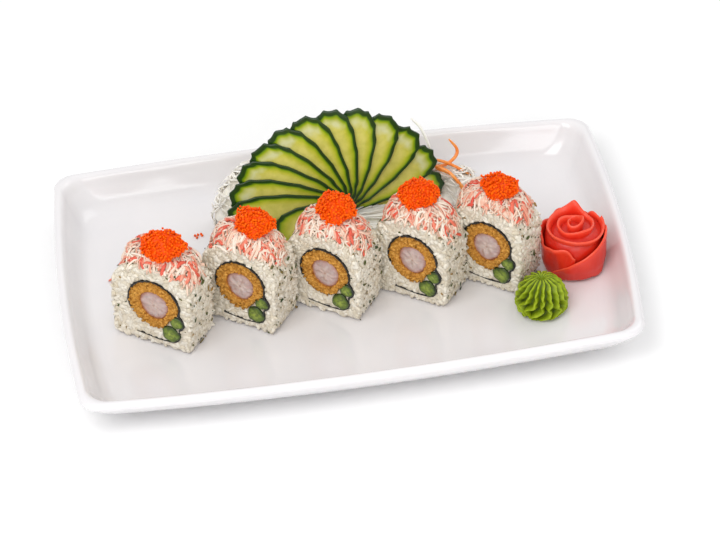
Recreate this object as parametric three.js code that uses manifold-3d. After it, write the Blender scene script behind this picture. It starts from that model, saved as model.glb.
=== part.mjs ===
// A long white plate with five pieces of uramaki in a row: rice outside, a sheet of seaweed round
// fried shrimp and two green stems, shredded crab on top and a mound of flying fish roe on the crab.
// Behind the row, a fan of cucumber slices leans on a heap of shredded radish with some carrot, and
// at the right end stand a rose of pickled ginger and a piped dome of wasabi.
// Millimetres, +Z up. The origin is under the middle of the plate, +X along its long side.
import * as THREE from "three";
import { mergeVertices } from "three/addons/utils/BufferGeometryUtils.js";
import Module from "manifold-3d";

const wasm = await Module();
wasm.setup();

// Plate
const PLATE_LENGTH = 300;
const PLATE_WIDTH = 201.6;
const LONG_SIDE_BOW = 4.9;
const SHORT_SIDE_BOW = 3.8;
const CORNER_RADIUS = 11;
const INNER_CORNER_GROWTH = 0.45;
// How far the front side lies further in than the back one, and how much more of that at its right end
const FRONT_DRAWN_IN = 4;
const FRONT_TAPER = 4.5;
const FLOOR = 7;
const RIM_HEIGHT = 24.6;
const REST_GAP = 0.3;

// Rolls: width and height of the cut face, and length along the roll
const ROLL_WIDTH = 42;
const ROLL_HEIGHT = 51;
const ROLL_LENGTH = 25.2;
const ROLL_TURN = -35;
const ROLL_SIDE_BULGE = 2.3;
const ROLL_CREST = -19;
const CROWN_RISE = 21;
const CROWN_POWER = 2 / 2.35;
const RICE_BUMP = 0.8;
// Where each roll's front right corner stands, how wide it is cut, and where its roe sits on the crown
const ROLLS = [
  { x: -86.7, y: -44.9, wide: 1.06, roe: [2.4, -1.2] },
  { x: -42, y: -37, wide: 1, roe: [3.2, 2.8] },
  { x: 2.5, y: -34.5, wide: 0.99, roe: [0.8, 3.2] },
  { x: 48.5, y: -32, wide: 0.98, roe: [-2, 2.8] },
  { x: 88.2, y: -28.2, wide: 0.98, roe: [3.2, 0.2] },
];

// Filling, in the cut face: across from the right corner, and up from the plate
const CRUST = { across: -17.8, up: 27.4, wide: 14, high: 14.8, flat: 4.9 };
const SHRIMP = { wide: 7.8, high: 8.7 };
const STEMS = [
  { across: -9.6, up: 10.8, radius: 5 },
  { across: -5.7, up: 19.5, radius: 3.8 },
];
const STEM_DIRECTION = THREE.MathUtils.degToRad(-42);
const CRUST_BUMP = 0.45;
const NORI_THICKNESS = 0.6;
const NORI_CLEARANCE = 1.25;
const NORI_TAIL_END = [-29, 6.4];
// Where the seaweed's ends are, as angles about the shrimp, and its last bend before the tail
const NORI_ENDS = [-75, 202];
const NORI_TAIL_START = [-15.5, 5];
const CUT_GAP = 0.35;

// Toppings
const CRAB_GAP = 0.9;
const CRAB_THICKNESS = 2.2;
const CRAB_MOUND = 3.4;
const CRAB_SHREDS = 4;
const CRAB_SPAN = 14;
const CRAB_FLARE = 25;
const CRAB_UNEVEN = 1.1;
const ROE_RADIUS = 12.6;
const ROE_HEIGHT = 12.5;
const ROE_BUMP = 0.55;

// Cucumber fan
const FAN_PIVOT = [2, 46, 20];
const FAN_LEAN = 82;
const FAN_RADIUS = 61.8;
const FAN_SLICES = 12;
const FAN_FIRST_ANGLE = 173.2;
const FAN_STEP = 13.3;
const FAN_SPREAD = 0.0184;
const SLICE_THICKNESS = 1.3;
const SLICE_PITCH = 1.62;
const SLICE_WIDTH = 27;
const SLICE_CORNERS = 22;
const SLICE_RIDGE = 0.03;
const SLICE_BLUNTNESS = 0.82;
const SLICE_MIDDLE = 0.45;
const SLICE_ROOM = { corners: 10, grow: 3.4 };
const SMALL_SLICE = { angle: 190, length: 36, width: 25 };

// Shredded radish and carrot
const HEAP = { x: 9, y: 59.5, wide: 74, deep: 15.5, high: 41, drop: 0.4 };
const APRON = { x: 4, y: 44, wide: 60, deep: 17, high: 10 };
const RADISH_WIDTH = 1.5;
const CARROT_WIDTH = 2.2;
const CARROT_THICKNESS = 1.2;

// Ginger rose and wasabi
const ROSE = { x: 121.2, y: -8, radius: 16.5, height: 31.5, turns: 3.2, petals: 5 };
const ROSE_TIP = { angle: 62, spread: 9, high: 5 };
const ROSE_POINT = { angle: -38, spread: 12, out: 0.13 };
const WASABI = { x: 99, y: -39, radius: 13.6, height: 20, ridges: 16, twist: 0.5 };

const COLOURS = {
  plate: [0xf3f2f1, 0.12],
  rice: [0xece9df, 0.55],
  nori: [0x17201a, 0.6],
  crust: [0xb9772c, 0.7],
  shrimp: [0xe3c9c4, 0.45],
  stem: [0x5d8f35, 0.4],
  crab: [0xf3c9bd, 0.5],
  roe: [0xff4f08, 0.25],
  cucumber: [0xa9b84e, 0.35],
  radish: [0xefe9dd, 0.4],
  carrot: [0xf58a2a, 0.4],
  ginger: [0xe8473a, 0.4],
  wasabi: [0x8fae26, 0.6],
};

// Repeatable random numbers from 0 to 1
function seeded(seed) {
  let state = seed >>> 0;
  return () => {
    state = (state + 0x6d2b79f5) >>> 0;
    let t = Math.imul(state ^ (state >>> 15), 1 | state);
    t = (t + Math.imul(t ^ (t >>> 7), 61 | t)) ^ t;
    return ((t ^ (t >>> 14)) >>> 0) / 4294967296;
  };
}

const turn = (degrees) => THREE.MathUtils.degToRad(degrees);
const vec = (x, y, z) => new THREE.Vector3(x, y, z);

// A closed body through a stack of rings, each a loop of points, with a fan of triangles at each end.
function loft(rings) {
  const count = rings[0].length;
  const points = rings.flat();
  const first = points.length;
  const last = first + 1;
  for (const ring of [rings[0], rings[rings.length - 1]])
    points.push(ring.reduce((sum, p) => sum.add(p), vec(0, 0, 0)).divideScalar(count));
  const faces = [];
  for (let r = 0; r + 1 < rings.length; r++)
    for (let i = 0; i < count; i++) {
      const j = (i + 1) % count;
      const [a, b, c, d] = [r * count + i, r * count + j, (r + 1) * count + j, (r + 1) * count + i];
      faces.push(a, b, c, a, c, d);
    }
  const top = (rings.length - 1) * count;
  for (let i = 0; i < count; i++) {
    const j = (i + 1) % count;
    faces.push(first, j, i, last, top + i, top + j);
  }
  return solid(points, faces);
}

function solid(points, faces) {
  const vertProperties = new Float32Array(points.flatMap((p) => [p.x, p.y, p.z]));
  const triVerts = new Uint32Array(faces);
  let made = new wasm.Manifold(new wasm.Mesh({ numProp: 3, vertProperties, triVerts }));
  if (made.volume() < 0) {
    for (let i = 0; i < triVerts.length; i += 3)
      [triVerts[i + 1], triVerts[i + 2]] = [triVerts[i + 2], triVerts[i + 1]];
    made = new wasm.Manifold(new wasm.Mesh({ numProp: 3, vertProperties, triVerts }));
  }
  return made;
}

// A three.js geometry, such as an extrusion, as a solid
function solidOf(geometry) {
  const bare = geometry.index ? geometry.toNonIndexed() : geometry.clone();
  bare.deleteAttribute("normal");
  bare.deleteAttribute("uv");
  const merged = mergeVertices(bare, 1e-4);
  return new wasm.Manifold(
    new wasm.Mesh({
      numProp: 3,
      vertProperties: merged.attributes.position.array,
      triVerts: new Uint32Array(merged.index.array),
    }),
  );
}

function geometryOf(body) {
  const { vertProperties, triVerts, numProp } = body.getMesh();
  const places = new Float32Array(triVerts.length * 3);
  triVerts.forEach((v, i) => {
    for (let k = 0; k < 3; k++) places[i * 3 + k] = vertProperties[v * numProp + k];
  });
  const geometry = new THREE.BufferGeometry();
  geometry.setAttribute("position", new THREE.BufferAttribute(places, 3));
  geometry.computeVertexNormals();
  return geometry;
}

// The piece with the most volume, so that scraps left by a cut are dropped
function largest(body) {
  return body.decompose().reduce((best, piece) => (piece.volume() > best.volume() ? piece : best));
}

const plateGroup = new THREE.Group();

function addNode(parent, name, kind, body) {
  const [color, roughness] = COLOURS[kind];
  const material = new THREE.MeshStandardMaterial({ color, roughness, metalness: 0 });
  const mesh = new THREE.Mesh(geometryOf(body), material);
  mesh.name = name;
  parent.add(mesh);
  return mesh;
}

// A point of an even-sided plate, moved back if it is in the front half, most at the right end
function drawnIn(x, y, height) {
  const forward = Math.max(0, -y) / (PLATE_WIDTH / 2);
  return vec(x, y + forward * (FRONT_DRAWN_IN + (FRONT_TAPER * x) / (PLATE_LENGTH / 2)), height);
}

// The plate's outline at a distance in from the rim, as a loop at one height
function plateRing(inset, height) {
  const radius = CORNER_RADIUS + inset * INNER_CORNER_GROWTH;
  const halfX = PLATE_LENGTH / 2 - SHORT_SIDE_BOW - inset;
  const halfY = PLATE_WIDTH / 2 - LONG_SIDE_BOW - inset;
  const corner = [halfX - radius, halfY - radius];
  const ring = [];
  const sides = [
    { from: [-corner[0], -halfY], to: [corner[0], -halfY], out: [0, -1], bow: LONG_SIDE_BOW, steps: 6 },
    { from: [halfX, -corner[1]], to: [halfX, corner[1]], out: [1, 0], bow: SHORT_SIDE_BOW, steps: 4 },
    { from: [corner[0], halfY], to: [-corner[0], halfY], out: [0, 1], bow: LONG_SIDE_BOW, steps: 6 },
    { from: [-halfX, corner[1]], to: [-halfX, -corner[1]], out: [-1, 0], bow: SHORT_SIDE_BOW, steps: 4 },
  ];
  const arcSteps = 4;
  sides.forEach((side, n) => {
    for (let i = 0; i <= side.steps; i++) {
      const t = i / side.steps;
      const bow = 4 * side.bow * t * (1 - t);
      const x = side.from[0] + (side.to[0] - side.from[0]) * t + side.out[0] * bow;
      const y = side.from[1] + (side.to[1] - side.from[1]) * t + side.out[1] * bow;
      ring.push(drawnIn(x, y, height));
    }
    const centre = [corner[0] * (n < 2 ? 1 : -1), corner[1] * (n === 1 || n === 2 ? 1 : -1)];
    for (let i = 1; i < arcSteps; i++) {
      const angle = turn(-90 + 90 * n + (90 * i) / arcSteps);
      ring.push(drawnIn(centre[0] + radius * Math.cos(angle), centre[1] + radius * Math.sin(angle), height));
    }
  });
  return ring;
}

// Distance in from the rim and height: foot recess, foot, outer wall, rolled lip, inner wall, floor
const PLATE_PROFILE = [
  [44, 1.4],
  [42, 0],
  [35, 0],
  [33.5, 2.4],
  [20, 3.7],
  [13, 6.6],
  [7, 12],
  [2.4, 18],
  [0, 22],
  [0.8, RIM_HEIGHT - 0.7],
  [2.6, RIM_HEIGHT],
  [4.6, RIM_HEIGHT - 1.4],
  [7, 18],
  [11, 11.2],
  [15, 8],
  [20, FLOOR],
];

function plate() {
  return loft(PLATE_PROFILE.map(([inset, height]) => plateRing(inset, height)));
}

// The cut face's outline, [across, up], anticlockwise from the right corner, grown by an offset
function rollOutline(grow, fine = 1) {
  const points = [];
  const wallTop = ROLL_HEIGHT - CROWN_RISE;
  const wallSteps = 4 * fine;
  const arcSteps = 7 * fine;
  for (let i = 0; i < wallSteps; i++) {
    const t = i / wallSteps;
    points.push([ROLL_SIDE_BULGE * Math.sin((t * Math.PI) / 2) + grow, t * wallTop]);
  }
  for (let i = 0; i < 2 * arcSteps; i++) {
    const angle = (i / (2 * arcSteps)) * Math.PI;
    const right = angle < Math.PI / 2;
    const wide = (right ? ROLL_SIDE_BULGE - ROLL_CREST : ROLL_WIDTH + ROLL_CREST) + grow;
    const across = Math.sign(Math.cos(angle)) * Math.abs(Math.cos(angle)) ** CROWN_POWER * wide;
    const up = Math.sin(angle) ** CROWN_POWER * (CROWN_RISE + grow);
    points.push([ROLL_CREST + across, wallTop + up]);
  }
  for (let i = 0; i <= wallSteps; i++) points.push([-ROLL_WIDTH - grow, wallTop * (1 - i / wallSteps)]);
  const floorSteps = 3;
  for (let i = 1; i < floorSteps; i++) points.push([-ROLL_WIDTH * (1 - i / floorSteps), 0]);
  return points;
}

// A prism along the roll from an outline in the cut face
function prism(outline, from, to) {
  const shape = new THREE.Shape(outline.map(([a, u]) => new THREE.Vector2(a, u)));
  const geometry = new THREE.ExtrudeGeometry(shape, { depth: to - from, bevelEnabled: false });
  geometry.rotateX(Math.PI / 2);
  geometry.translate(0, to, 0);
  return solidOf(geometry);
}

function crustRadius(angle, grow) {
  const round = 1 / Math.hypot(Math.cos(angle) / CRUST.wide, Math.sin(angle) / CRUST.high);
  const away = Math.atan2(Math.sin(angle - STEM_DIRECTION), Math.cos(angle - STEM_DIRECTION));
  return round - CRUST.flat * Math.exp(-((away / 0.5) ** 2)) + grow;
}

// A loop round the shrimp's centre, from a radius that depends on the angle
function fillingLoop(count, radiusAt) {
  return Array.from({ length: count }, (_, i) => {
    const angle = (i / count) * 2 * Math.PI;
    const radius = radiusAt(angle, i);
    return [CRUST.across + radius * Math.cos(angle), CRUST.up + radius * Math.sin(angle)];
  });
}

const circle = (stem, grow, count) =>
  Array.from({ length: count }, (_, i) => {
    const angle = (i / count) * 2 * Math.PI;
    const radius = stem.radius + grow;
    return [stem.across + radius * Math.cos(angle), stem.up + radius * Math.sin(angle)];
  });

// The convex loop round points, anticlockwise
function hull(points) {
  const sorted = [...points].sort((p, q) => p[0] - q[0] || p[1] - q[1]);
  const half = (list) => {
    const chain = [];
    for (const p of list) {
      while (chain.length > 1) {
        const [a, b] = chain.slice(-2);
        if ((b[0] - a[0]) * (p[1] - a[1]) - (b[1] - a[1]) * (p[0] - a[0]) > 0) break;
        chain.pop();
      }
      chain.push(p);
    }
    return chain.slice(0, -1);
  };
  return [...half(sorted), ...half(sorted.reverse())];
}

// The seaweed's line: over the fried shrimp, round the stems, then a loose tail to the left
function noriLine() {
  const loop = hull([
    ...fillingLoop(20, (angle) => crustRadius(angle, NORI_CLEARANCE)),
    ...STEMS.flatMap((stem) => circle(stem, NORI_CLEARANCE - 0.2, 9)),
  ]);
  const angleOf = ([a, u]) => {
    const angle = Math.atan2(u - CRUST.up, a - CRUST.across);
    return angle < turn((NORI_ENDS[0] + NORI_ENDS[1]) / 2 - 180) ? angle + 2 * Math.PI : angle;
  };
  const kept = loop.filter((p) => angleOf(p) > turn(NORI_ENDS[0]) && angleOf(p) < turn(NORI_ENDS[1]));
  kept.sort((p, q) => angleOf(q) - angleOf(p));
  return [...kept, NORI_TAIL_START, NORI_TAIL_END];
}

// A strip of even thickness along a line
function ribbon(line, thickness) {
  const sides = [[], []];
  line.forEach(([a, u], i) => {
    const before = line[Math.max(0, i - 1)];
    const after = line[Math.min(line.length - 1, i + 1)];
    const along = new THREE.Vector2(after[0] - before[0], after[1] - before[1]).normalize();
    sides[0].push([a - (along.y * thickness) / 2, u + (along.x * thickness) / 2]);
    sides[1].push([a + (along.y * thickness) / 2, u - (along.x * thickness) / 2]);
  });
  return [...sides[1], ...sides[0].reverse()];
}

// Rice with bumps the size of its grains, open where the filling runs through
function rice(random) {
  const outline = rollOutline(0);
  const bumpy = (along, inward, depth) =>
    outline.map(([a, u]) => {
      const centre = [ROLL_CREST, ROLL_HEIGHT / 2];
      const bump = u > 1 ? random() * RICE_BUMP * inward : 0;
      const out = new THREE.Vector2(a - centre[0], u - centre[1]);
      const scale = depth * (1 - bump / out.length());
      const up = Math.max(0, centre[1] + out.y * scale);
      return vec(centre[0] + out.x * scale, along + (random() - 0.5) * 0.5 * inward, up);
    });
  const stations = [2.2, 8.8, 15.4, 22.2];
  const rings = [
    bumpy(0.4, 1, 0.86),
    bumpy(0.3, 1, 0.985),
    ...stations.map((along) => bumpy(along, 1, 1)),
    bumpy(ROLL_LENGTH - 0.3, 1, 0.985),
    bumpy(ROLL_LENGTH - 0.4, 1, 0.86),
  ];
  const through = [-5, ROLL_LENGTH + 5];
  const room = fillingLoop(24, (angle) => crustRadius(angle, CRUST_BUMP + CUT_GAP));
  let body = loft(rings).subtract(prism(room, ...through));
  body = body.subtract(prism(ribbon(noriLine(), NORI_THICKNESS + 2 * CUT_GAP), ...through));
  for (const stem of STEMS) body = body.subtract(prism(circle(stem, CUT_GAP, 10), ...through));
  return largest(body);
}

// Fried crust: a rough ring with room for the shrimp
function crust(random) {
  const stations = [-0.4, 8, 16.5, ROLL_LENGTH + 0.4];
  const ring = (along) =>
    fillingLoop(20, (angle) => crustRadius(angle, (random() * 2 - 1) * CRUST_BUMP)).map(([a, u]) =>
      vec(a, along, u),
    );
  const shrimpRoom = fillingLoop(14, (angle) => shrimpRadius(angle) + CUT_GAP + 0.35);
  return loft(stations.map(ring)).subtract(prism(shrimpRoom, -5, ROLL_LENGTH + 5));
}

function shrimpRadius(angle) {
  const round = 1 / Math.hypot(Math.cos(angle) / SHRIMP.wide, Math.sin(angle) / SHRIMP.high);
  return round * (1 + 0.03 * Math.sin(3 * angle));
}

function shrimp() {
  return prism(fillingLoop(14, shrimpRadius), -0.1, ROLL_LENGTH + 0.1);
}

// Height of the roll's top over a place across it
function crownHeight(across) {
  const outline = rollOutline(0, 4).filter(([, up]) => up > ROLL_HEIGHT - CROWN_RISE);
  return outline.reduce((best, p) => (Math.abs(p[0] - across) < Math.abs(best[0] - across) ? p : best))[1];
}

// A bent strip along a path, as one piece of a heap
function strip(path, width, thickness) {
  const curve = new THREE.CatmullRomCurve3(path);
  const steps = Math.max(2, path.length - 1);
  const rings = [];
  for (let i = 0; i <= steps; i++) {
    const at = curve.getPoint(i / steps);
    const along = curve.getTangent(i / steps);
    const side = vec(0, 0, 1).cross(along).normalize();
    const up = along.clone().cross(side);
    const corners = [
      [-1, -1],
      [1, -1],
      [1, 1],
      [-1, 1],
    ];
    rings.push(
      corners.map(([s, t]) =>
        at
          .clone()
          .addScaledVector(side, (s * width) / 2)
          .addScaledVector(up, (t * thickness) / 2),
      ),
    );
  }
  return loft(rings);
}

// How far the crab stands above the crown at a place on it
function crabHeight(across, along) {
  const aside = (across - ROLL_CREST) / 13;
  const back = (along - ROLL_LENGTH / 2) / ROLL_LENGTH;
  return CRAB_GAP + CRAB_THICKNESS + CRAB_MOUND * Math.exp(-(aside ** 2)) * (1 - 2.4 * back ** 2);
}

// Shredded crab: an uneven blanket over the crown with the top shreds fused on
function crab(random) {
  const inner = rollOutline(CRAB_GAP).filter(([, up]) => up > ROLL_HEIGHT - CRAB_SPAN);
  const [from, to] = [0.2, ROLL_LENGTH - 0.2];
  const rows = [from, 9, 16.5, to];
  const rings = inner.map(([across, up]) => {
    const raised = rows.map((along) => {
      const thick = crabHeight(across, along) - CRAB_GAP - random() * CRAB_UNEVEN;
      return vec(across + ((across - ROLL_CREST) / CRAB_FLARE) * thick, along, up + thick * 0.9);
    });
    return [...raised, vec(across, to, up), vec(across, from, up)];
  });
  let body = loft(rings);
  for (let n = 0; n < CRAB_SHREDS; n++) {
    const heading = ((n + random() * 0.5) / CRAB_SHREDS) * 2 * Math.PI;
    const path = [10, 15.5, 20].map((reach) => {
      const across = THREE.MathUtils.clamp(ROLL_CREST + Math.cos(heading) * reach * 1.1, -42, 1);
      const along = THREE.MathUtils.clamp(ROLL_LENGTH / 2 + Math.sin(heading) * reach, 1.2, ROLL_LENGTH - 1.2);
      return vec(across, along, crownHeight(across) + crabHeight(across, along));
    });
    body = body.add(strip(path, 2.1, 1.6));
  }
  return body;
}

// A mound of roe, with bumps for its grains; grow makes the room that it needs in the crab
function roe(random, [aside, back], grow) {
  const seat = ROLL_HEIGHT + CRAB_GAP + CRAB_THICKNESS + CRAB_MOUND - 2;
  const profile = [
    [0.8, 0],
    [1, 0.22],
    [0.9, 0.5],
    [0.62, 0.8],
    [0.25, 0.97],
  ];
  const around = random ? 16 : 10;
  const rings = profile.map(([wide, high]) =>
    Array.from({ length: around }, (_, i) => {
      const angle = (i / around) * 2 * Math.PI;
      const bump = random ? (random() * 2 - 1) * ROE_BUMP : ROE_BUMP * 2 + grow;
      const radius = ROE_RADIUS * wide + bump;
      return vec(
        ROLL_CREST + aside + radius * Math.cos(angle),
        ROLL_LENGTH / 2 + back + radius * 0.88 * Math.sin(angle),
        seat + high * (ROE_HEIGHT + grow) - grow,
      );
    }),
  );
  return loft(rings);
}

function roll(index) {
  const random = seeded(100 + index);
  const group = new THREE.Group();
  const place = ROLLS[index];
  group.position.set(place.x, place.y, FLOOR + REST_GAP);
  group.rotation.z = turn(ROLL_TURN);
  group.scale.x = place.wide;
  const name = (what) => `roll_${index + 1}_${what}`;
  addNode(group, name("rice"), "rice", rice(random));
  const line = ribbon(noriLine(), NORI_THICKNESS);
  addNode(group, name("seaweed"), "nori", prism(line, 0.1, ROLL_LENGTH - 0.1));
  addNode(group, name("crust"), "crust", crust(random));
  addNode(group, name("shrimp"), "shrimp", shrimp());
  STEMS.forEach((stem, n) => {
    const end = 0.5 + random() * 0.6;
    const body = prism(circle(stem, 0, 9), -end, ROLL_LENGTH + 0.5);
    addNode(group, name(`stem_${n + 1}`), "stem", body);
  });
  addNode(group, name("crab"), "crab", largest(crab(random).subtract(roe(null, place.roe, CUT_GAP))));
  addNode(group, name("roe"), "roe", roe(random, place.roe, 0));
  return group;
}

// A slice's outline in its own plane, from the pivot out along +X, with the rind's corners
function sliceOutline(length, width, corners, ridged, grow = 0) {
  return Array.from({ length: corners }, (_, i) => {
    const angle = ((i + 0.5) / corners) * 2 * Math.PI;
    const ridge = 1 + (i % 2 ? ridged : -ridged);
    const x = Math.sign(Math.cos(angle)) * Math.abs(Math.cos(angle)) ** SLICE_BLUNTNESS;
    const y = Math.sign(Math.sin(angle)) * Math.abs(Math.sin(angle)) ** SLICE_BLUNTNESS;
    return [length * SLICE_MIDDLE + (length / 2 + 1 + grow) * x * ridge, (width / 2 + grow) * y * ridge];
  });
}

// A flat outline set in the fan at a place in the stack, counted forward from its middle
function inFan(outline, s, back, depth) {
  const shape = new THREE.Shape(outline.map(([x, y]) => new THREE.Vector2(x, y)));
  const geometry = new THREE.ExtrudeGeometry(shape, { depth, bevelEnabled: false });
  geometry.translate(0, 0, s.place - back);
  geometry.rotateZ(turn(s.angle));
  geometry.rotateX(turn(FAN_LEAN));
  geometry.translate(...FAN_PIVOT);
  return solidOf(geometry);
}

function slice(s) {
  const outline = sliceOutline(s.length, s.width, SLICE_CORNERS, SLICE_RIDGE);
  return inFan(outline, s, SLICE_THICKNESS / 2, SLICE_THICKNESS);
}

// The room that a slice needs in the radish
function sliceRoom(s) {
  const outline = sliceOutline(s.length, s.width, SLICE_ROOM.corners, 0, SLICE_ROOM.grow);
  const back = SLICE_THICKNESS / 2 + CUT_GAP;
  return inFan(outline, s, back, 2 * back);
}

// The room behind each two neighbours in the fan and all the way in front of them
function clearFront(body) {
  const back = SLICE_THICKNESS / 2 + CUT_GAP;
  const outline = sliceOutline(FAN_RADIUS, SLICE_WIDTH + 20, 10, 0, 4);
  const slices = fanSlices();
  for (let i = 2; i <= FAN_SLICES; i += 2) {
    const angle = (slices[i].angle + slices[i - 1].angle) / 2;
    body = body.subtract(inFan(outline, { ...slices[i], angle }, back, 60));
  }
  return body;
}

function fanSlices() {
  const middle = (FAN_SLICES - 1) / 2;
  const slices = [{ ...SMALL_SLICE, place: (middle + 1) * SLICE_PITCH }];
  for (let i = 0; i < FAN_SLICES; i++)
    slices.push({
      place: (middle - i) * SLICE_PITCH,
      angle: FAN_FIRST_ANGLE - FAN_STEP * i - FAN_SPREAD * i ** 3,
      length: FAN_RADIUS,
      width: SLICE_WIDTH,
    });
  return slices;
}

// Everything above a height
function above(height) {
  const size = 400;
  const box = new THREE.BoxGeometry(size, size, size);
  box.translate(0, 0, height + size / 2);
  return solidOf(box);
}

// A low or tall mound of radish with an uneven skin, lower at its right end by the share "drop"
function mound(shape, levels, around, random) {
  const rings = levels.map(([wide, high]) =>
    Array.from({ length: around }, (_, i) => {
      const angle = (i / around) * 2 * Math.PI;
      const bump = wide * (1 - random() * 0.07);
      const lowered = 1 - (shape.drop ?? 0) * Math.max(0, Math.cos(angle)) * high;
      return vec(
        shape.x + shape.wide * bump * Math.cos(angle),
        shape.y + shape.deep * bump * Math.sin(angle),
        FLOOR + REST_GAP + shape.high * high * lowered,
      );
    }),
  );
  return loft(rings);
}

// Radish heap: strands fused on a tall mound behind the slices, and a low one that they stand in
function heap() {
  const random = seeded(7);
  const tallLevels = [
    [0.97, 0],
    [1, 0.16],
    [0.92, 0.55],
    [0.78, 0.88],
    [0.45, 1],
  ];
  const lowLevels = [
    [0.94, 0],
    [1, 0.3],
    [0.75, 1],
  ];
  let tall = mound(HEAP, tallLevels, 18, random);
  for (const path of radishStrands()) tall = tall.add(strip(path, RADISH_WIDTH, RADISH_WIDTH));
  let body = clearFront(tall).add(mound(APRON, lowLevels, 16, random));
  for (const s of fanSlices()) body = body.subtract(sliceRoom(s));
  return largest(body.subtract(carrot(CUT_GAP)));
}

// A point on the heap's skin: an angle round it and a share of the way up
function onHeap(angle, share, lift) {
  const wide = Math.sqrt(Math.max(0, 1 - share * share)) * 0.97;
  return vec(
    HEAP.x + (HEAP.wide * wide + lift) * Math.cos(angle),
    HEAP.y + (HEAP.deep * wide + lift) * Math.sin(angle),
    FLOOR + REST_GAP + HEAP.high * share + lift,
  );
}

function radishStrands() {
  const strands = [];
  const count = 4;
  for (let n = 0; n < count; n++) {
    const right = n % 2 === 0;
    const centre = (right ? 0 : Math.PI) + (n - count / 2) * 0.13 * (right ? 1 : -1);
    const start = centre - 0.35;
    const path = [0, 1, 2, 3].map((i) =>
      onHeap(start + i * 0.22, 0.25 + 0.09 * ((n * 2 + i) % 5), i === 3 ? 1 : 0.3),
    );
    strands.push(path);
  }
  strands.push([vec(56, 61, 40), vec(52, 66, 51), vec(47, 70, 56)]);
  return strands;
}

// Carrot strips: a curl and two flat strips that cross on the heap's right shoulder
function carrot(grow) {
  const strips = [
    [vec(50, 61, 30), vec(62, 62, 27.6), vec(69, 65, 29.5), vec(71, 68, 33), vec(67, 70, 38.8)],
    [vec(56, 62, 33), vec(65, 61.3, 29.5), vec(77, 60, 20.6)],
    [vec(54, 60, 30), vec(64, 60, 24), vec(72, 57.5, 12)],
  ];
  const [first, ...rest] = strips.map((path) =>
    strip(path, CARROT_WIDTH + grow * 2, CARROT_THICKNESS + grow * 2),
  );
  return rest.reduce((sum, next) => sum.add(next), first);
}

// Ginger rose: petals wound in a spiral on top, and overlapping round the side
function rose() {
  const around = 32;
  const base = FLOOR + REST_GAP;
  const side = [
    [0.56, 0],
    [0.9, 0.07],
    [0.98, 0.26],
    [1, 0.55],
    [0.98, 0.8],
    [0.9, 0.94],
  ];
  const near = (angle, place) => {
    const away = Math.atan2(Math.sin(angle - turn(place.angle)), Math.cos(angle - turn(place.angle)));
    return Math.exp(-((away / turn(place.spread)) ** 2));
  };
  const petalStep = (angle, high) => {
    const phase = (angle / (2 * Math.PI)) * ROSE.petals + high * 1.3;
    return 1 - 0.09 * (phase - Math.floor(phase));
  };
  const rings = side.map(([wide, high]) =>
    Array.from({ length: around }, (_, i) => {
      const angle = (i / around) * 2 * Math.PI;
      const point = 1 + ROSE_POINT.out * near(angle, ROSE_POINT) * (1 - high);
      const radius = ROSE.radius * wide * petalStep(angle, high) * point;
      const tip = ROSE_TIP.high * near(angle, ROSE_TIP) * high ** 4;
      const up = base + ROSE.height * high + tip;
      return vec(ROSE.x + radius * Math.cos(angle), ROSE.y + radius * Math.sin(angle), up);
    }),
  );
  const crownRings = 7;
  for (let r = 1; r <= crownRings; r++)
    rings.push(
      Array.from({ length: around }, (_, i) => {
        const angle = (i / around) * 2 * Math.PI;
        const share = 0.9 * (1 - r / (crownRings + 0.6));
        const wound = share * ROSE.turns + angle / (2 * Math.PI);
        const fold = wound - Math.floor(wound);
        const height = ROSE.height * (0.93 + 0.06 * (1 - share)) - 4.2 * fold ** 1.4;
        const radius = ROSE.radius * share * petalStep(angle, 1);
        return vec(ROSE.x + radius * Math.cos(angle), ROSE.y + radius * Math.sin(angle), base + height);
      }),
    );
  return loft(rings);
}

// Wasabi: a dome of ridges that turn as they rise
function wasabi() {
  const perRidge = 3;
  const around = WASABI.ridges * perRidge;
  const levels = [
    [0.8, 0],
    [0.98, 0.12],
    [1, 0.32],
    [0.9, 0.58],
    [0.7, 0.8],
    [0.4, 0.95],
    [0.14, 0.99],
  ];
  const rings = levels.map(([wide, high]) =>
    Array.from({ length: around }, (_, i) => {
      const angle = (i / around) * 2 * Math.PI;
      const ridge = Math.cos(angle * WASABI.ridges);
      const radius = WASABI.radius * wide * (0.93 + 0.07 * ridge);
      const wound = angle + WASABI.twist * high;
      return vec(
        WASABI.x + radius * Math.cos(wound),
        WASABI.y + radius * Math.sin(wound),
        FLOOR + REST_GAP + WASABI.height * high,
      );
    }),
  );
  return loft(rings);
}

const plateMesh = addNode(plateGroup, "plate", "plate", plate());
ROLLS.forEach((_, index) => plateGroup.add(roll(index)));
const ground = above(FLOOR + REST_GAP);
fanSlices().forEach((s, n) => {
  addNode(plateGroup, `cucumber_${n + 1}`, "cucumber", slice(s).intersect(ground));
});
addNode(plateGroup, "radish_shreds", "radish", heap());
addNode(plateGroup, "carrot_shreds", "carrot", carrot(0));
addNode(plateGroup, "ginger_rose", "ginger", rose());
addNode(plateGroup, "wasabi", "wasabi", wasabi());

// The origin is under the middle of the plate's box, which the drawn-in front side moves back
plateGroup.position.y = -new THREE.Box3().setFromObject(plateMesh).getCenter(vec(0, 0, 0)).y;

export default plateGroup;
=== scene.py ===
# A long white plate with five pieces of uramaki: rice with herb flakes round fried shrimp, green stems
# and seaweed, shredded crab and flying fish roe on top. Behind them a fan of cucumber slices leans on
# shredded radish with some carrot, and a ginger rose and a dome of wasabi stand at the right end.
# Lengths below are in millimetres, and become metres when a mesh or a material is made.
import math

import bpy
import numpy as np
from mathutils import Matrix, Vector, noise


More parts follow.
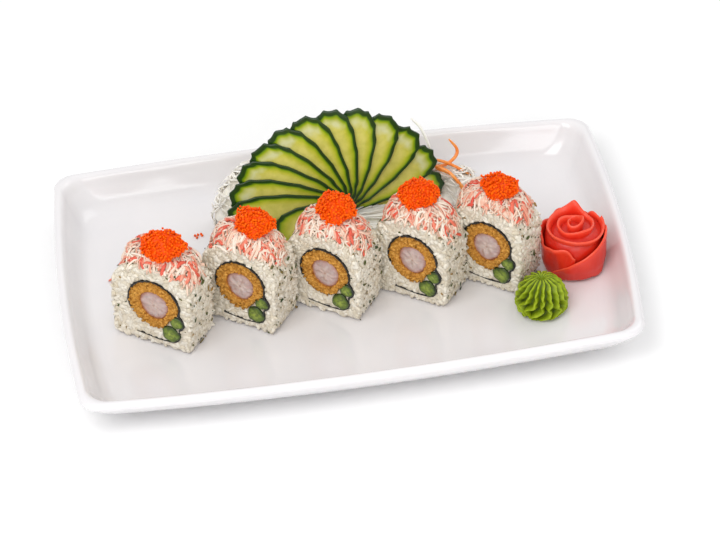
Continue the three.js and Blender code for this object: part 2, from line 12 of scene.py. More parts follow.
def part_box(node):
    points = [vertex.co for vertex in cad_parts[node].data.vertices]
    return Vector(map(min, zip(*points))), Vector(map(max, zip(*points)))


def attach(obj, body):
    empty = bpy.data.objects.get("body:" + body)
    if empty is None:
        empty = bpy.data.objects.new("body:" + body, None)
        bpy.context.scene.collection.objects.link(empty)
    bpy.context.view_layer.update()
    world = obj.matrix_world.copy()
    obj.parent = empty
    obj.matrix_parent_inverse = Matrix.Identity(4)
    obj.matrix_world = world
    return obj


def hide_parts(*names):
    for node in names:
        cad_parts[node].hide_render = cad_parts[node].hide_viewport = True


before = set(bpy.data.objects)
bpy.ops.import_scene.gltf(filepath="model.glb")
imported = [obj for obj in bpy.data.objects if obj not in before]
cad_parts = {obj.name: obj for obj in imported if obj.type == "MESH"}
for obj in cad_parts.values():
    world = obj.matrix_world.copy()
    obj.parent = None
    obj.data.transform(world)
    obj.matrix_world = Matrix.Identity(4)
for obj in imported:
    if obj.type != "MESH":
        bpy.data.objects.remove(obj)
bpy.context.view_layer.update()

MM = 0.001
TAU = 2 * math.pi
GOLDEN_SHARE = 0.6180339887
GOLDEN_ANGLE = 2.39996323

# Plate
PLATE_LENGTH = 300
PLATE_WIDTH = 201.6
LONG_SIDE_BOW = 4.9
SHORT_SIDE_BOW = 3.8
CORNER_RADIUS = 11
INNER_CORNER_GROWTH = 0.45
FRONT_DRAWN_IN = 4
FRONT_TAPER = 4.5
FLOOR = 7
RIM_HEIGHT = 24.6
REST = FLOOR + 0.3
# The front side is drawn in, so everything moves forward to keep the origin under the middle of the box
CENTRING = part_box("plate")[1][1] / MM - PLATE_WIDTH / 2
# Distance in from the rim and height: foot recess, foot, outer wall, rolled lip, inner wall, floor
PLATE_PROFILE = [
    (44, 1.4),
    (42, 0),
    (35, 0),
    (33.5, 2.4),
    (20, 3.7),
    (13, 6.6),
    (7, 12),
    (2.4, 18),
    (0, 22),
    (0.8, RIM_HEIGHT - 0.7),
    (2.6, RIM_HEIGHT),
    (4.6, RIM_HEIGHT - 1.4),
    (7, 18),
    (11, 11.2),
    (15, 8),
    (20, FLOOR),
]
PROFILE_STEPS = 71
LONG_SIDE_STEPS = 40
SHORT_SIDE_STEPS = 28
CORNER_STEPS = 14

# Rolls: place of the front right corner, width as a share, the roe's shift and its size as a share
ROLLS = [
    {"x": -86.7, "y": -44.9, "wide": 1.06, "roe": (2.4, -1.2), "mound": 1.0},
    {"x": -42, "y": -37, "wide": 1, "roe": (3.2, 2.8), "mound": 0.97},
    {"x": 2.5, "y": -34.5, "wide": 0.99, "roe": (0.8, 3.2), "mound": 1.0},
    {"x": 48.5, "y": -32, "wide": 0.98, "roe": (-2, 2.8), "mound": 0.98},
    {"x": 88.2, "y": -28.2, "wide": 0.98, "roe": (3.2, 0.2), "mound": 0.88},
]
ROLL_WIDTH = 42
ROLL_HEIGHT = 51
ROLL_LENGTH = 25.2
ROLL_TURN = math.radians(-35)
ROLL_SIDE_BULGE = 2.3
ROLL_CREST = -19
CROWN_RISE = 21
CROWN_SQUARENESS = 2.35
CRUST = {"across": -17.8, "up": 27.4, "wide": 14, "high": 14.8, "flat": 3.4}
SHRIMP = {"wide": 7.8, "high": 8.7}
STEMS = [
    {"across": -9.6, "up": 10.8, "radius": 5},
    {"across": -5.7, "up": 19.5, "radius": 3.8},
]
STEM_DIRECTION = math.radians(-42)
NORI_CLEARANCE = 0.45
NORI_ENDS = (-74, 202)
NORI_TAIL_START = (-15.5, 5)
NORI_TAIL_END = (-29, 6.4)
NORI_STEPS = 170
GRAIN_SIZE = np.array([2.75, 1.3, 1.2])
SKIN_GRAINS = 600
FACE_GRAINS = 230
FACE_REACH = 36
LOWEST_GRAIN = 2.2
HERBS_ON_SKIN = 110
HERBS_ON_FACE = 11
CRUMBS = 460
CRUMB_SIZE = np.array([1.2, 0.9, 0.65])

# Crab and roe
CRAB_GAP = 0.9
CRAB_THICKNESS = 2.2
CRAB_MOUND = 3.4
CRAB_MIDDLE = 13.4
CRAB_REACH = (23.5, 12.9)
CRAB_STRIPS = 540
CRAB_HERBS = 34
HERB_SIZE = np.array([1.0, 0.5, 0.3])
# Threads, flakes and crumbs of crab: share, length, width and tone
CRAB_SHARES = [0.66, 0.2, 0.14]
CRAB_LENGTHS = [(4, 11), (3, 6.5), (1.2, 2.4)]
CRAB_WIDTHS = [(0.6, 1.2), (1.2, 2.3), (0.8, 1.4)]
CRAB_TONES = [(0, 0.62), (0.6, 1), (0, 1)]
ROE_RADIUS = 12.4
ROE_HEIGHT = 12.6
ROE_GRAIN = 0.66
ROE_GRAINS = 520
# Width and height of the roe's mound, as shares
ROE_LEVELS = np.array([(0.8, 0), (1, 0.22), (0.9, 0.5), (0.62, 0.8), (0.25, 0.97), (0.02, 1)])

# Cucumber fan
FAN_PIVOT = (2, 46, 20)
FAN_LEAN = math.radians(82)
FAN_RADIUS = 61.8
FAN_SLICES = 12
FAN_FIRST_ANGLE = 173.2
FAN_STEP = 13.3
FAN_SPREAD = 0.0184
SLICE_THICKNESS = 1.3
SLICE_PITCH = 1.62
SLICE_WIDTH = 27
SLICE_SQUARENESS = 0.82
SLICE_RIDGES = 15
SLICE_RIDGE = 0.021
SMALL_SLICE = {"angle": 190, "length": 36, "width": 25}
RIND_SPAN = 6
RIND_SPAN_AT_TIP = 0.6

# Radish and carrot: mounds, and their width and height at a few levels as shares
HEAP = {"x": 9, "y": 59.5, "wide": 73, "deep": 15.5, "high": 40, "drop": 0.62}
HEAP_END = {"x": 64, "y": 58, "wide": 17, "deep": 9.4, "high": 16.5, "drop": 0}
APRON = {"x": 4, "y": 45, "wide": 60, "deep": 16, "high": 5.5, "drop": 0}
TALL_LEVELS = np.array([(0.97, 0), (1, 0.16), (0.92, 0.55), (0.78, 0.88), (0.45, 1)])
LOW_LEVELS = np.array([(0.94, 0), (1, 0.3), (0.75, 1)])
TALL_STRANDS = 460
LOW_STRANDS = 70
END_STRANDS = 42
STRAND_STEPS = 9
UPRIGHT_SHRED = [(56, 61, 40), (52, 66, 51), (47, 70, 56)]
CARROT_STRIPS = [
    [(50, 61, 30), (62, 62, 27.6), (69, 65, 29.5), (71, 68, 33), (67, 70, 38.8)],
    [(56, 62, 33), (65, 61.3, 29.5), (77, 60, 20.6)],
    [(56, 60.5, 30), (63.5, 55.6, 29), (68, 51, 25.6), (73.5, 48.4, 18)],
    [(58, 60.5, 27.5), (65.5, 54.8, 27), (69.5, 50.8, 22.5), (73, 49, 15.5)],
]

# Ginger and wasabi: width and height at a few levels as shares
ROSE = {"x": 121.2, "y": -8, "radius": 16.5, "height": 31.5}
ROSE_CORE = [(0.5, 0), (0.84, 0.07), (0.92, 0.3), (0.92, 0.6), (0.86, 0.76), (0.4, 0.8), (0.02, 0.8)]
ROSE_TURNS = 2.7
ROSE_START = 2.2
ROSE_TIP = 0.69
# Slices round the rose: first angle and sweep in degrees, height at the first and at the last edge as shares
PETALS = [
    (62, 150, 0.85, 0.3),
    (-95, 150, 0.74, 0.42),
    (-165, 150, 0.84, 0.3),
    (130, 150, 0.84, 0.35),
    (14, 172, 0.86, 0.04),
]
PETAL_HEIGHTS = [0, 0.07, 0.26, 0.55, 0.8, 1.0]
PETAL_WIDTHS = [0.72, 0.9, 0.97, 0.985, 0.97, 0.93]
WASABI = {"x": 99, "y": -39, "radius": 13.6, "height": 20, "ridges": 16, "twist": 0.5}
WASABI_LEVELS = [
    (0.8, 0), (0.97, 0.1), (1, 0.3), (0.93, 0.55), (0.75, 0.78), (0.48, 0.94), (0.2, 1.0), (0.03, 0.86),
]

# Scraps on the plate's floor: places of roe grains, and each bit of crab's place, turn, length and tone
LOOSE_ROE = np.array([(-74.2, 51.5), (-73.3, 49.6), (-72.6, 51.9), (-70.9, 52.2), (-70.4, 50.9)])
LOOSE_CRAB = [(-121.9, 22.7, 0.7, 3.4, 0.75), (-120.4, 24.6, 2.3, 2.4, 0.5)]

# Light, in metres and watts: each lamp's place, width and power, all aimed at the plate's middle
SKY = 0.76
LAMPS = [((-0.6, -0.7, 1.4), 0.9, 10), ((0.9, 0.6, 1.3), 0.8, 2.5), ((0.1, -1.7, 0.75), 1.0, 7)]
STUDIO_SIZE = 6.0

# Camera, from the photo: a long lens from the front, a little to the left and 40 degrees up
CAMERA_AZIMUTH = math.radians(-5.468)
CAMERA_ELEVATION = math.radians(40)
CAMERA_ROLL = math.radians(-3.1311)
CAMERA_DISTANCE = 2092.3
CAMERA_TARGET = (7.425, -12.345, 24)
CAMERA_LENS = 200
CAMERA_SENSOR = 36
CAMERA_CLIP = 50

# Materials
COAT_ROUGHNESS = 0.12
WARM_BLEED = (1.0, 0.6, 0.4)
EVEN_BLEED = (1.0, 1.0, 1.0)


# Points and faces


def turns(count):
    """So many angles, evenly round a circle."""
    return np.arange(count) / count * TAU


def xyz(x, y, z):
    """Points from coordinates, which may differ in shape."""
    return np.stack(np.broadcast_arrays(x, y, z), axis=-1)


def unit(vectors):
    return vectors / (np.linalg.norm(vectors, axis=-1, keepdims=True) + 1e-9)


def above(points, height):
    """Lifts points that are too low."""
    points[..., 2] = np.maximum(points[..., 2], height)
    return points


def grid_faces(rows, columns, close_rows=False, close_columns=False):
    """Triangles over a grid of points; a closed grid also joins its last row or column to its first."""
    r = np.arange(rows if close_rows else rows - 1)
    c = np.arange(columns if close_columns else columns - 1)
    r, c = (g.ravel() for g in np.meshgrid(r, c, indexing="ij"))
    below, beside = (r + 1) % rows, (c + 1) % columns
    a, b, d, e = r * columns + c, r * columns + beside, below * columns + c, below * columns + beside
    return np.vstack([np.column_stack([a, b, e]), np.column_stack([a, e, d])])


def facing_out(points, faces):
    """The same faces, turned over if the closed body is inside out."""
    a, b, c = (points[faces[:, k]] for k in range(3))
    inside_out = np.einsum("ij,ij->i", a, np.cross(b, c)).sum() < 0
    return faces[:, ::-1] if inside_out else faces


def smooth_path(points, steps):
    """A smooth curve through the points, at so many steps."""
    points = np.asarray(points, float)
    padded = np.vstack([2 * points[0] - points[1], points, 2 * points[-1] - points[-2]])
    spans = len(points) - 1
    t = np.linspace(0, spans, steps)
    i = np.minimum(t.astype(int), spans - 1)
    f = (t - i)[:, None]
    p, q, r, s = (padded[i + k] for k in range(4))
    return 0.5 * (2 * q + (r - p) * f + (2 * p - 5 * q + 4 * r - s) * f**2 + (3 * q - p - 3 * r + s) * f**3)


def rough(points, scale, seed=0):
    """Smooth noise from -1 to 1 at each point, with lumps of about scale millimetres."""
    flat = np.asarray(points, float).reshape(-1, 3) / scale + seed * 17.3
    return np.array([noise.noise(Vector(p)) for p in flat]).reshape(np.shape(points)[:-1])


def dip(values, middle, width):
    """1 at the middle, falling smoothly to nothing on both sides."""
    return np.exp(-(((values - middle) / width) ** 2))


def edge_ease(count):
    """From about 0 at both ends of a run to 1 over most of it."""
    away = 1 - np.abs(np.linspace(-1, 1, count))
    return np.clip(away * 9, 0.25, 1)


def ball(around, rows):
    """A small round shape of unit radius."""
    row = np.arange(1, rows)[:, None]
    tilt = math.pi * row / rows
    turn = TAU * (np.arange(around) + 0.5 * (row % 2)) / around
    rings = xyz(np.sin(tilt) * np.cos(turn), np.sin(tilt) * np.sin(turn), np.cos(tilt))
    points = np.vstack([[(0, 0, 1)], rings.reshape(-1, 3), [(0, 0, -1)]])
    last = len(points) - 1
    faces = []
    for c in range(around):
        beside = (c + 1) % around
        faces += [(0, 1 + c, 1 + beside), (last, last - around + beside, last - around + c)]
    for a in range(1, last - around):
        b = a + 1 if a % around else a + 1 - around
        faces += [(a, a + around, b + around), (a, b + around, b)]
    return points, facing_out(points, np.array(faces))


HERB = ball(5, 3)
CRUMB = ball(5, 3)
RICE_GRAIN = ball(7, 4)
ROE_BALL = ball(6, 4)


# Bodies


class Body:
    """Points and triangles gathered for one piece, with a tone for each point."""

    def __init__(self):
        self.points, self.faces, self.tones, self.looks = [], [], [], []
        self.count = 0

    def add(self, points, faces, tone, look=0):
        """Adds triangles; look is the number of their material."""
        points = points.reshape(-1, 3)
        self.points.append(points)
        self.faces.append(faces + self.count)
        self.tones.append(tone)
        self.looks.append(np.full(len(faces), look))
        self.count += len(points)

    def torus(self, rings, tone):
        """A grid of rings closed both ways, such as a tube with walls."""
        rows, columns = rings.shape[:2]
        points = rings.reshape(-1, 3)
        faces = facing_out(points, grid_faces(rows, columns, True, True))
        self.add(points, faces, np.broadcast_to(tone, (rows, columns)).ravel())

    def loft(self, rings, tone):
        """A stack of rings with a fan of triangles over each end."""
        rows, columns = rings.shape[:2]
        points = np.vstack([rings.reshape(-1, 3), rings[0].mean(0), rings[-1].mean(0)])
        here = np.arange(columns)
        beside = (here + 1) % columns
        first, top = rows * columns, (rows - 1) * columns
        faces = np.vstack([
            grid_faces(rows, columns, False, True),
            np.column_stack([np.full(columns, first), beside, here]),
            np.column_stack([np.full(columns, first + 1), top + here, top + beside]),
        ])
        tones = np.broadcast_to(tone, (rows, columns)).ravel()
        self.add(points, facing_out(points, faces), np.append(tones, tones[[0, -1]]))

    def sheet(self, grid, thickness, tone, eased=True):
        """A thin solid either side of a grid of points, eased thinner at its edges."""
        down, along = np.gradient(grid, axis=(0, 1))
        rows, columns = grid.shape[:2]
        if eased:
            edge = np.minimum(*np.meshgrid(edge_ease(rows), edge_ease(columns), indexing="ij"))
            thickness = thickness * edge[..., None]
        half = unit(np.cross(along, down)) * thickness / 2
        points = np.concatenate([grid + half, (grid - half)[:, ::-1]], axis=1).reshape(-1, 3)
        tones = np.broadcast_to(tone, (rows, columns))
        tones = np.concatenate([tones, tones[:, ::-1]], axis=1).ravel()
        i = np.arange(columns - 1)
        j = 2 * columns - 1 - i
        ends = np.vstack([np.column_stack([i, j, i + 1]), np.column_stack([i + 1, j, j - 1])])
        last = (rows - 1) * 2 * columns
        faces = np.vstack([grid_faces(rows, 2 * columns, False, True), ends[:, ::-1], ends + last])
        self.add(points, facing_out(points, faces), tones)

    def copies(self, shape, places, axes, sizes, tone, look=0):
        """Copies of a small shape, each with its own axes and its size along them."""
        points, faces = shape
        moved = places[:, None] + np.einsum("pk,nkj->npj", points, axes * sizes[:, :, None])
        shift = (np.arange(len(places)) * len(points))[:, None, None]
        tones = np.repeat(np.broadcast_to(tone, (len(places),)), len(points))
        self.add(moved, (faces[None] + shift).reshape(-1, 3), tones, look)

    def strips(self, paths, normals, width, thickness, tone):
        """Bent strips with a flat six-sided section; paths is (strips, steps, 3)."""
        along = unit(np.gradient(paths, axis=1))
        side = unit(np.cross(normals, along))
        up = np.cross(along, side)
        strips, steps = paths.shape[:2]
        taper = (1 - 0.55 * np.abs(np.linspace(-1, 1, steps)) ** 6)[None, :, None, None]
        angles = turns(6)[None, None, :, None]
        across = np.cos(angles) / 2 * np.reshape(width, (-1, 1, 1, 1))
        high = np.sin(angles) / 2 * np.reshape(thickness, (-1, 1, 1, 1))
        rings = paths[:, :, None] + taper * (across * side[:, :, None] + high * up[:, :, None])
        for ring, value in zip(rings, np.broadcast_to(tone, (strips,))):
            self.loft(ring, value)

    def strip(self, route, steps, normal, width, thickness, tone):
        """One strip along a smooth curve."""
        path = smooth_path(route, steps)
        self.strips(path[None], np.tile(normal, (1, steps, 1)), [width], [thickness], tone)

    def settle(self, roll):
        """Moves it from a roll's own frame to the plate's.

        A roll's frame is across from its front right corner, along from its front cut, up from the plate."""
        c, s = math.cos(ROLL_TURN), math.sin(ROLL_TURN)
        for n, points in enumerate(self.points):
            across, along, up = points.T
            across = across * roll["wide"]
            x, y = roll["x"] + across * c - along * s, roll["y"] + across * s + along * c
            self.points[n] = xyz(x, y, REST + up)

    def mesh(self, name, materials):
        points = (np.concatenate(self.points) + (0, CENTRING, 0)) * MM
        faces = np.concatenate(self.faces)
        mesh = bpy.data.meshes.new(name)
        mesh.vertices.add(len(points))
        mesh.vertices.foreach_set("co", points.ravel())
        mesh.loops.add(faces.size)
        mesh.loops.foreach_set("vertex_index", faces.ravel().astype(np.int32))
        mesh.polygons.add(len(faces))
        mesh.polygons.foreach_set("loop_start", np.arange(0, faces.size, 3, dtype=np.int32))
        mesh.polygons.foreach_set("material_index", np.concatenate(self.looks).astype(np.int32))
        mesh.polygons.foreach_set("use_smooth", np.full(len(faces), True))
        tone = mesh.attributes.new("tone", "FLOAT", "POINT")
        tone.data.foreach_set("value", np.concatenate(self.tones).astype(np.float32))
        for material in materials:
            mesh.materials.append(material)
        mesh.update(calc_edges=True)
        mesh.validate()
        return mesh


def piece(name, body, materials, node=None, roll=None):
    """Makes the gathered body an object that rides on the plate and stands for its CAD node."""
    if roll:
        body.settle(roll)
    thing = bpy.data.objects.new(name, body.mesh(name, materials))
    bpy.context.collection.objects.link(thing)
    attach(thing, "root")
    if node:
        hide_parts(node)


# Materials


def screen(*levels):
    """A colour, or a single grey, as a screen shows it from 0 to 255, in linear light."""
    share = np.broadcast_to(np.array(levels) / 255, 3)
    linear = np.where(share <= 0.04045, share / 12.92, ((share + 0.055) / 1.055) ** 2.4)
    return (*linear.tolist(), 1.0)


class Finish:
    """A material built from a few kinds of node."""

    def __init__(self, name, roughness, subsurface=0.0, depth=2.0, coat=0.0, bleed=WARM_BLEED, gloss=0.5):
        self.material = bpy.data.materials.new(name)
        self.material.use_nodes = True
        self.tree = self.material.node_tree
        self.shader = self.tree.nodes["Principled BSDF"]
        uniform = {
            "Roughness": roughness,
            "Subsurface Weight": subsurface,
            "Subsurface Scale": depth * MM,
            "Subsurface Radius": bleed,
            "Coat Weight": coat,
            "Coat Roughness": COAT_ROUGHNESS,
            "Specular IOR Level": gloss,
        }
        for socket, value in uniform.items():
            self.shader.inputs[socket].default_value = value
        self.place = self.tree.nodes.new("ShaderNodeTexCoord").outputs["Object"]

    def node(self, kind, inputs, **settings):
        """A new node; each of its inputs is a value or another node's output."""
        node = self.tree.nodes.new("ShaderNode" + kind)
        for name, value in settings.items():
            setattr(node, name, value)
        for socket, value in inputs.items():
            if isinstance(value, bpy.types.NodeSocket):
                self.tree.links.new(value, node.inputs[socket])
            else:
                node.inputs[socket].default_value = value
        return node

    def tone(self):
        return self.node("Attribute", {}, attribute_name="tone").outputs["Fac"]

    def noise(self, size, detail=3.0, stretch=(1, 1, 1)):
        """Noise with lumps of about size millimetres."""
        mapping = self.node("Mapping", {"Vector": self.place, "Scale": stretch})
        inputs = {"Vector": mapping.outputs["Vector"], "Scale": 1 / (size * MM), "Detail": detail}
        return self.node("TexNoise", inputs).outputs["Fac"]

    def ramp(self, source, *stops):
        """Colours for values from 0 to 1; a stop is a value and its colour or grey on a screen."""
        node = self.node("ValToRGB", {"Fac": source})
        elements = node.color_ramp.elements
        while len(elements) < len(stops):
            elements.new(0.5)
        for element, (place, *levels) in zip(elements, stops):
            element.position = place
            element.color = screen(*levels)
        return node.outputs["Color"]

    def blend(self, share, one, other, mode="MIX"):
        """Mixes two colours; share may be a number or a node's output."""
        return self.node("Mix", {0: share, 6: one, 7: other}, data_type="RGBA", blend_type=mode).outputs[2]

    def maths(self, operation, one, other):
        return self.node("Math", {0: one, 1: other}, operation=operation, use_clamp=True).outputs[0]

    def dress(self, colour, height=None, depth=0.0, strength=0.0):
        """Gives the surface its colour and a relief of about depth millimetres."""
        self.tree.links.new(colour, self.shader.inputs["Base Color"])
        if height is not None:
            relief = self.node("Bump", {"Distance": depth * MM, "Strength": strength, "Height": height})
            self.tree.links.new(relief.outputs["Normal"], self.shader.inputs["Normal"])


# Plate


def plate_ring(inset, height):
    """The plate's outline at a distance in from the rim."""
    radius = CORNER_RADIUS + inset * INNER_CORNER_GROWTH
    half = np.array([PLATE_LENGTH / 2 - SHORT_SIDE_BOW, PLATE_WIDTH / 2 - LONG_SIDE_BOW]) - inset
    corner = half - radius
    arc = np.linspace(0, math.pi / 2, CORNER_STEPS, endpoint=False)
    loops = []
    for n in range(4):
        if n % 2 == 0:
            reach, out, bow, steps = corner[0], half[1], LONG_SIDE_BOW, LONG_SIDE_STEPS
        else:
            reach, out, bow, steps = corner[1], half[0], SHORT_SIDE_BOW, SHORT_SIDE_STEPS
        t = np.linspace(0, 1, steps, endpoint=False)
        x = np.concatenate([out + 4 * bow * t * (1 - t), out - radius + radius * np.cos(arc)])
        y = np.concatenate([reach * (2 * t - 1), reach + radius * np.sin(arc)])
        turn = (n - 1) * math.pi / 2
        c, s = math.cos(turn), math.sin(turn)
        loops.append(np.column_stack([x * c - y * s, x * s + y * c]))
    x, y = np.vstack(loops).T
    forward = np.maximum(0, -y) / (PLATE_WIDTH / 2)
    return xyz(x, y + forward * (FRONT_DRAWN_IN + FRONT_TAPER * x / (PLATE_LENGTH / 2)), height)


def make_plate():
    finish = Finish("glazed porcelain", 0.16, coat=0.5)
    glaze = finish.ramp(finish.noise(38, 2), (0.3, 229, 227, 229), (0.7, 234, 231, 232))
    finish.dress(glaze, finish.noise(16, 1), 0.05, 0.35)
    insets, heights = smooth_path(PLATE_PROFILE, PROFILE_STEPS).T
    insets, heights = np.maximum(insets, 0), np.clip(heights, 0, RIM_HEIGHT)
    body = Body()
    body.loft(np.array([plate_ring(inset, height) for inset, height in zip(insets, heights)]), 0.0)
    piece("porcelain_plate", body, [finish.material], "plate")


# Shape of a roll


def roll_outline(grow=0.0, fine=24):
    """The cut face's outline, anticlockwise from the right corner."""
    wall_top = ROLL_HEIGHT - CROWN_RISE
    t = np.linspace(0, 1, 4 * fine, endpoint=False)
    right = np.column_stack([ROLL_SIDE_BULGE * np.sin(t * math.pi / 2) + grow, t * wall_top])
    angle = np.linspace(0, math.pi, 14 * fine, endpoint=False)
    power = 2 / CROWN_SQUARENESS
    wide = np.where(angle < math.pi / 2, ROLL_SIDE_BULGE - ROLL_CREST, ROLL_WIDTH + ROLL_CREST) + grow
    across = ROLL_CREST + np.sign(np.cos(angle)) * np.abs(np.cos(angle)) ** power * wide
    crown = np.column_stack([across, wall_top + np.sin(angle) ** power * (ROLL_HEIGHT - wall_top + grow)])
    left = np.column_stack([np.full(len(t), -ROLL_WIDTH - grow), wall_top * (1 - t)])
    floor = np.column_stack([-ROLL_WIDTH * (1 - t), np.zeros(len(t))])
    return np.vstack([right, crown, left, floor])


OUTLINE = roll_outline()
FROM_FILLING = OUTLINE - [CRUST["across"], CRUST["up"]]
OUTLINE_ANGLES = np.arctan2(FROM_FILLING[:, 1], FROM_FILLING[:, 0])
OUTLINE_RADII = np.hypot(*FROM_FILLING.T)


def outline_radius(angle):
    """How far the cut face's edge is from the filling's centre."""
    return np.interp(angle, OUTLINE_ANGLES, OUTLINE_RADII, period=TAU)


def oval_radius(angle, shape):
    return 1 / np.hypot(np.cos(angle) / shape["wide"], np.sin(angle) / shape["high"])


def crust_radius(angle):
    """The fried crust's outer edge, flattened towards the stems."""
    away = np.arctan2(np.sin(angle - STEM_DIRECTION), np.cos(angle - STEM_DIRECTION))
    return oval_radius(angle, CRUST) - CRUST["flat"] * dip(away, 0, 0.5)


def shrimp_radius(angle):
    return oval_radius(angle, SHRIMP) * (1 + 0.03 * np.sin(3 * angle))


def around_filling(angle, radius, along):
    """Points at an angle and radius about the filling's centre."""
    up = np.maximum(CRUST["up"] + radius * np.sin(angle), 0)
    return xyz(CRUST["across"] + radius * np.cos(angle), along, up)


def facing(along):
    """Which way the nearer cut faces."""
    return np.where(along < ROLL_LENGTH / 2, -1, 1)


def filling_tube(angle, inner, outer, steps, overhang, ease):
    """A tube that runs through the roll: its rings run over the front cut, along the skin, over the back
    cut and back through the hole. Steps are counted over a cut and along the skin.

    Returns the rings, each ring's share of the way from the hole to the skin and its place along the
    roll, and which way is out."""
    low, high = -overhang, ROLL_LENGTH + overhang
    out = np.linspace(0, 1, steps[0])
    rounded = ease * np.clip((out - 0.9) / 0.1, 0, 1) ** 2
    skin = np.linspace(low + ease, high - ease, steps[1] + 2)[1:-1]
    hole = low + (high - low) * np.array([0.66, 0.33])
    share = np.concatenate([out, np.ones(steps[1]), out[::-1], [0, 0]])[:, None]
    along = np.concatenate([low + rounded, skin, high - rounded[::-1], hole])[:, None]
    rings = around_filling(angle, inner + (outer - inner) * share, along)
    return rings, share, along, xyz(np.cos(angle), 0, np.sin(angle))


def stand_up(rng, normals, spread):
    """Random axes for small things lying on a surface: long axis in the surface, give or take."""
    count = len(normals)
    loose = unit(normals + rng.normal(0, spread, (count, 3)))
    long = unit(np.cross(loose, rng.normal(0, 1, (count, 3))))
    return np.stack([long, np.cross(loose, long), loose], axis=1)


def skin_places(rng, count, sink, loose=0.02):
    """Places and outward directions over a roll's skin, floor left out.

    They are spread evenly, and at random if loose is 1."""
    outline = roll_outline(-sink)
    outline = outline[outline[:, 1] > 0.2]
    steps = np.diff(outline, axis=0)
    lengths = np.hypot(*steps.T)
    travelled = np.concatenate([[0], np.cumsum(lengths)])
    even = (np.arange(count) * GOLDEN_SHARE) % 1
    at = (even + rng.uniform(-loose, loose, count)) % 1 * travelled[-1]
    along = 0.9 + (np.arange(count) + rng.uniform(0, 1, count)) / count * (ROLL_LENGTH - 1.8)
    across = np.interp(at, travelled, outline[:, 0])
    up = np.interp(at, travelled, outline[:, 1])
    i = np.clip(np.searchsorted(travelled, at) - 1, 0, len(steps) - 1)
    direction = steps[i] / lengths[i][:, None]
    return xyz(across, along, up), xyz(direction[:, 1], 0, -direction[:, 0])


def face_places(rng, count, back):
    """Places and outward directions over a cut face, outside the filling."""
    tries = 3 * count
    angle = np.arange(tries) * GOLDEN_ANGLE + rng.uniform(-0.1, 0.1, tries)
    radius = np.sqrt((np.arange(tries) + rng.uniform(0, 1, tries)) / tries) * FACE_REACH
    keep = (radius > crust_radius(angle) + 1.1) & (radius < outline_radius(angle) - 1.0)
    places = around_filling(angle, radius, ROLL_LENGTH - 1.05 if back else 1.05)[keep]
    for stem in STEMS:
        away = np.hypot(places[:, 0] - stem["across"], places[:, 2] - stem["up"])
        places = places[away > stem["radius"] + 0.8]
    return places, np.tile([0.0, 1.0 if back else -1.0, 0.0], (len(places), 1))


# Layers of a roll


def make_rice(index, rng):
    angle = turns(150)
    inner, outer = crust_radius(angle) + 0.4, outline_radius(angle) - 0.9
    rings, share, along, outward = filling_tube(angle, inner, outer, (12, 11), -0.75, 0.8)
    relief = rough(rings, 2.6, index)
    on_skin = (share > 0.93) * (rings[..., 2] > 1)
    on_face = (share > 0.08) & (share < 0.93)
    rings = rings + outward * (relief * 0.5 * on_skin)[..., None]
    rings[..., 1] += facing(along) * relief * 0.3 * on_face
    body = Body()
    body.torus(above(rings, 0), 0.35)
    spots = [(*skin_places(rng, SKIN_GRAINS, 0.95), 0.16, 1.0)]
    spots += [(*face_places(rng, FACE_GRAINS, back), 0.12, 0.8) for back in (False, True)]
    for places, normals, spread, high in spots:
        axes = stand_up(rng, normals, spread)
        sizes = GRAIN_SIZE * (1, 1, high) * rng.uniform(0.85, 1.12, (len(places), 1))
        tones = rng.uniform(0, 1, len(places))
        body.copies(RICE_GRAIN, above(places, LOWEST_GRAIN), axes, sizes, tones)
    for points in body.points:
        above(points, 0)
    return body


def add_herbs(body, rng):
    """Dried herb flakes, most of them on the skin."""
    spots = []
    for back in (None, False, True):
        if back is None:
            places, normals = skin_places(rng, HERBS_ON_SKIN * 2, -0.2, 1)
            count = HERBS_ON_SKIN
        else:
            places, normals = face_places(rng, 40, back)
            count = HERBS_ON_FACE
        kept = rng.permutation(len(places))[:count]
        spots.append((places[kept], normals[kept]))
    places, normals = (np.vstack(part) for part in zip(*spots))
    sizes = rng.uniform(0, 1, (len(places), 1)) ** 2.2 * 1.75 + 0.45
    sizes = sizes * (1.0, 0.4, 0) + (0, 0.14, 0.26)
    axes = stand_up(rng, normals, 0.15)
    body.copies(HERB, places + normals * 0.42, axes, sizes, rng.uniform(0, 1, len(places)), 1)


def nori_line():
    """The seaweed's line in the cut face: close round the fried shrimp and the stems, then a tail."""
    angle = np.radians(np.linspace(NORI_ENDS[1], NORI_ENDS[0], 150))
    radius = crust_radius(angle) + NORI_CLEARANCE
    for stem in STEMS:
        away = np.array([stem["across"] - CRUST["across"], stem["up"] - CRUST["up"]])
        reach = away[0] * np.cos(angle) + away[1] * np.sin(angle)
        room = (stem["radius"] + NORI_CLEARANCE) ** 2 - (away @ away - reach**2)
        radius = np.where(room > 0, np.maximum(radius, reach + np.sqrt(np.maximum(room, 0))), radius)
    blur = dip(np.arange(-6, 7), 0, 3.2)
    radius = np.convolve(np.pad(radius, 6, mode="edge"), blur / blur.sum(), mode="valid")
    line = around_filling(angle, radius, 0)[:, [0, 2]]
    return smooth_path(np.vstack([line, NORI_TAIL_START, NORI_TAIL_END]), NORI_STEPS)


def make_seaweed(index):
    across, up = nori_line().T
    grid = xyz(across, np.linspace(-0.15, ROLL_LENGTH + 0.15, 9)[:, None], up)
    normal = unit(xyz(-np.gradient(up), 0, np.gradient(across)))
    waves = 0.22 * rough(grid, 4.5, 20 + index) + 0.2 * rough(grid, 1.6, 30 + index)
    grid = grid + normal * waves[..., None]
    tail = np.clip((NORI_STEPS - np.arange(NORI_STEPS)) / 24, 0.4, 1)
    thickness = (0.85 + 0.75 * rough(grid, 1.5, 40 + index)) * tail
    body = Body()
    body.sheet(grid, thickness[..., None], 0.0, eased=False)
    return body


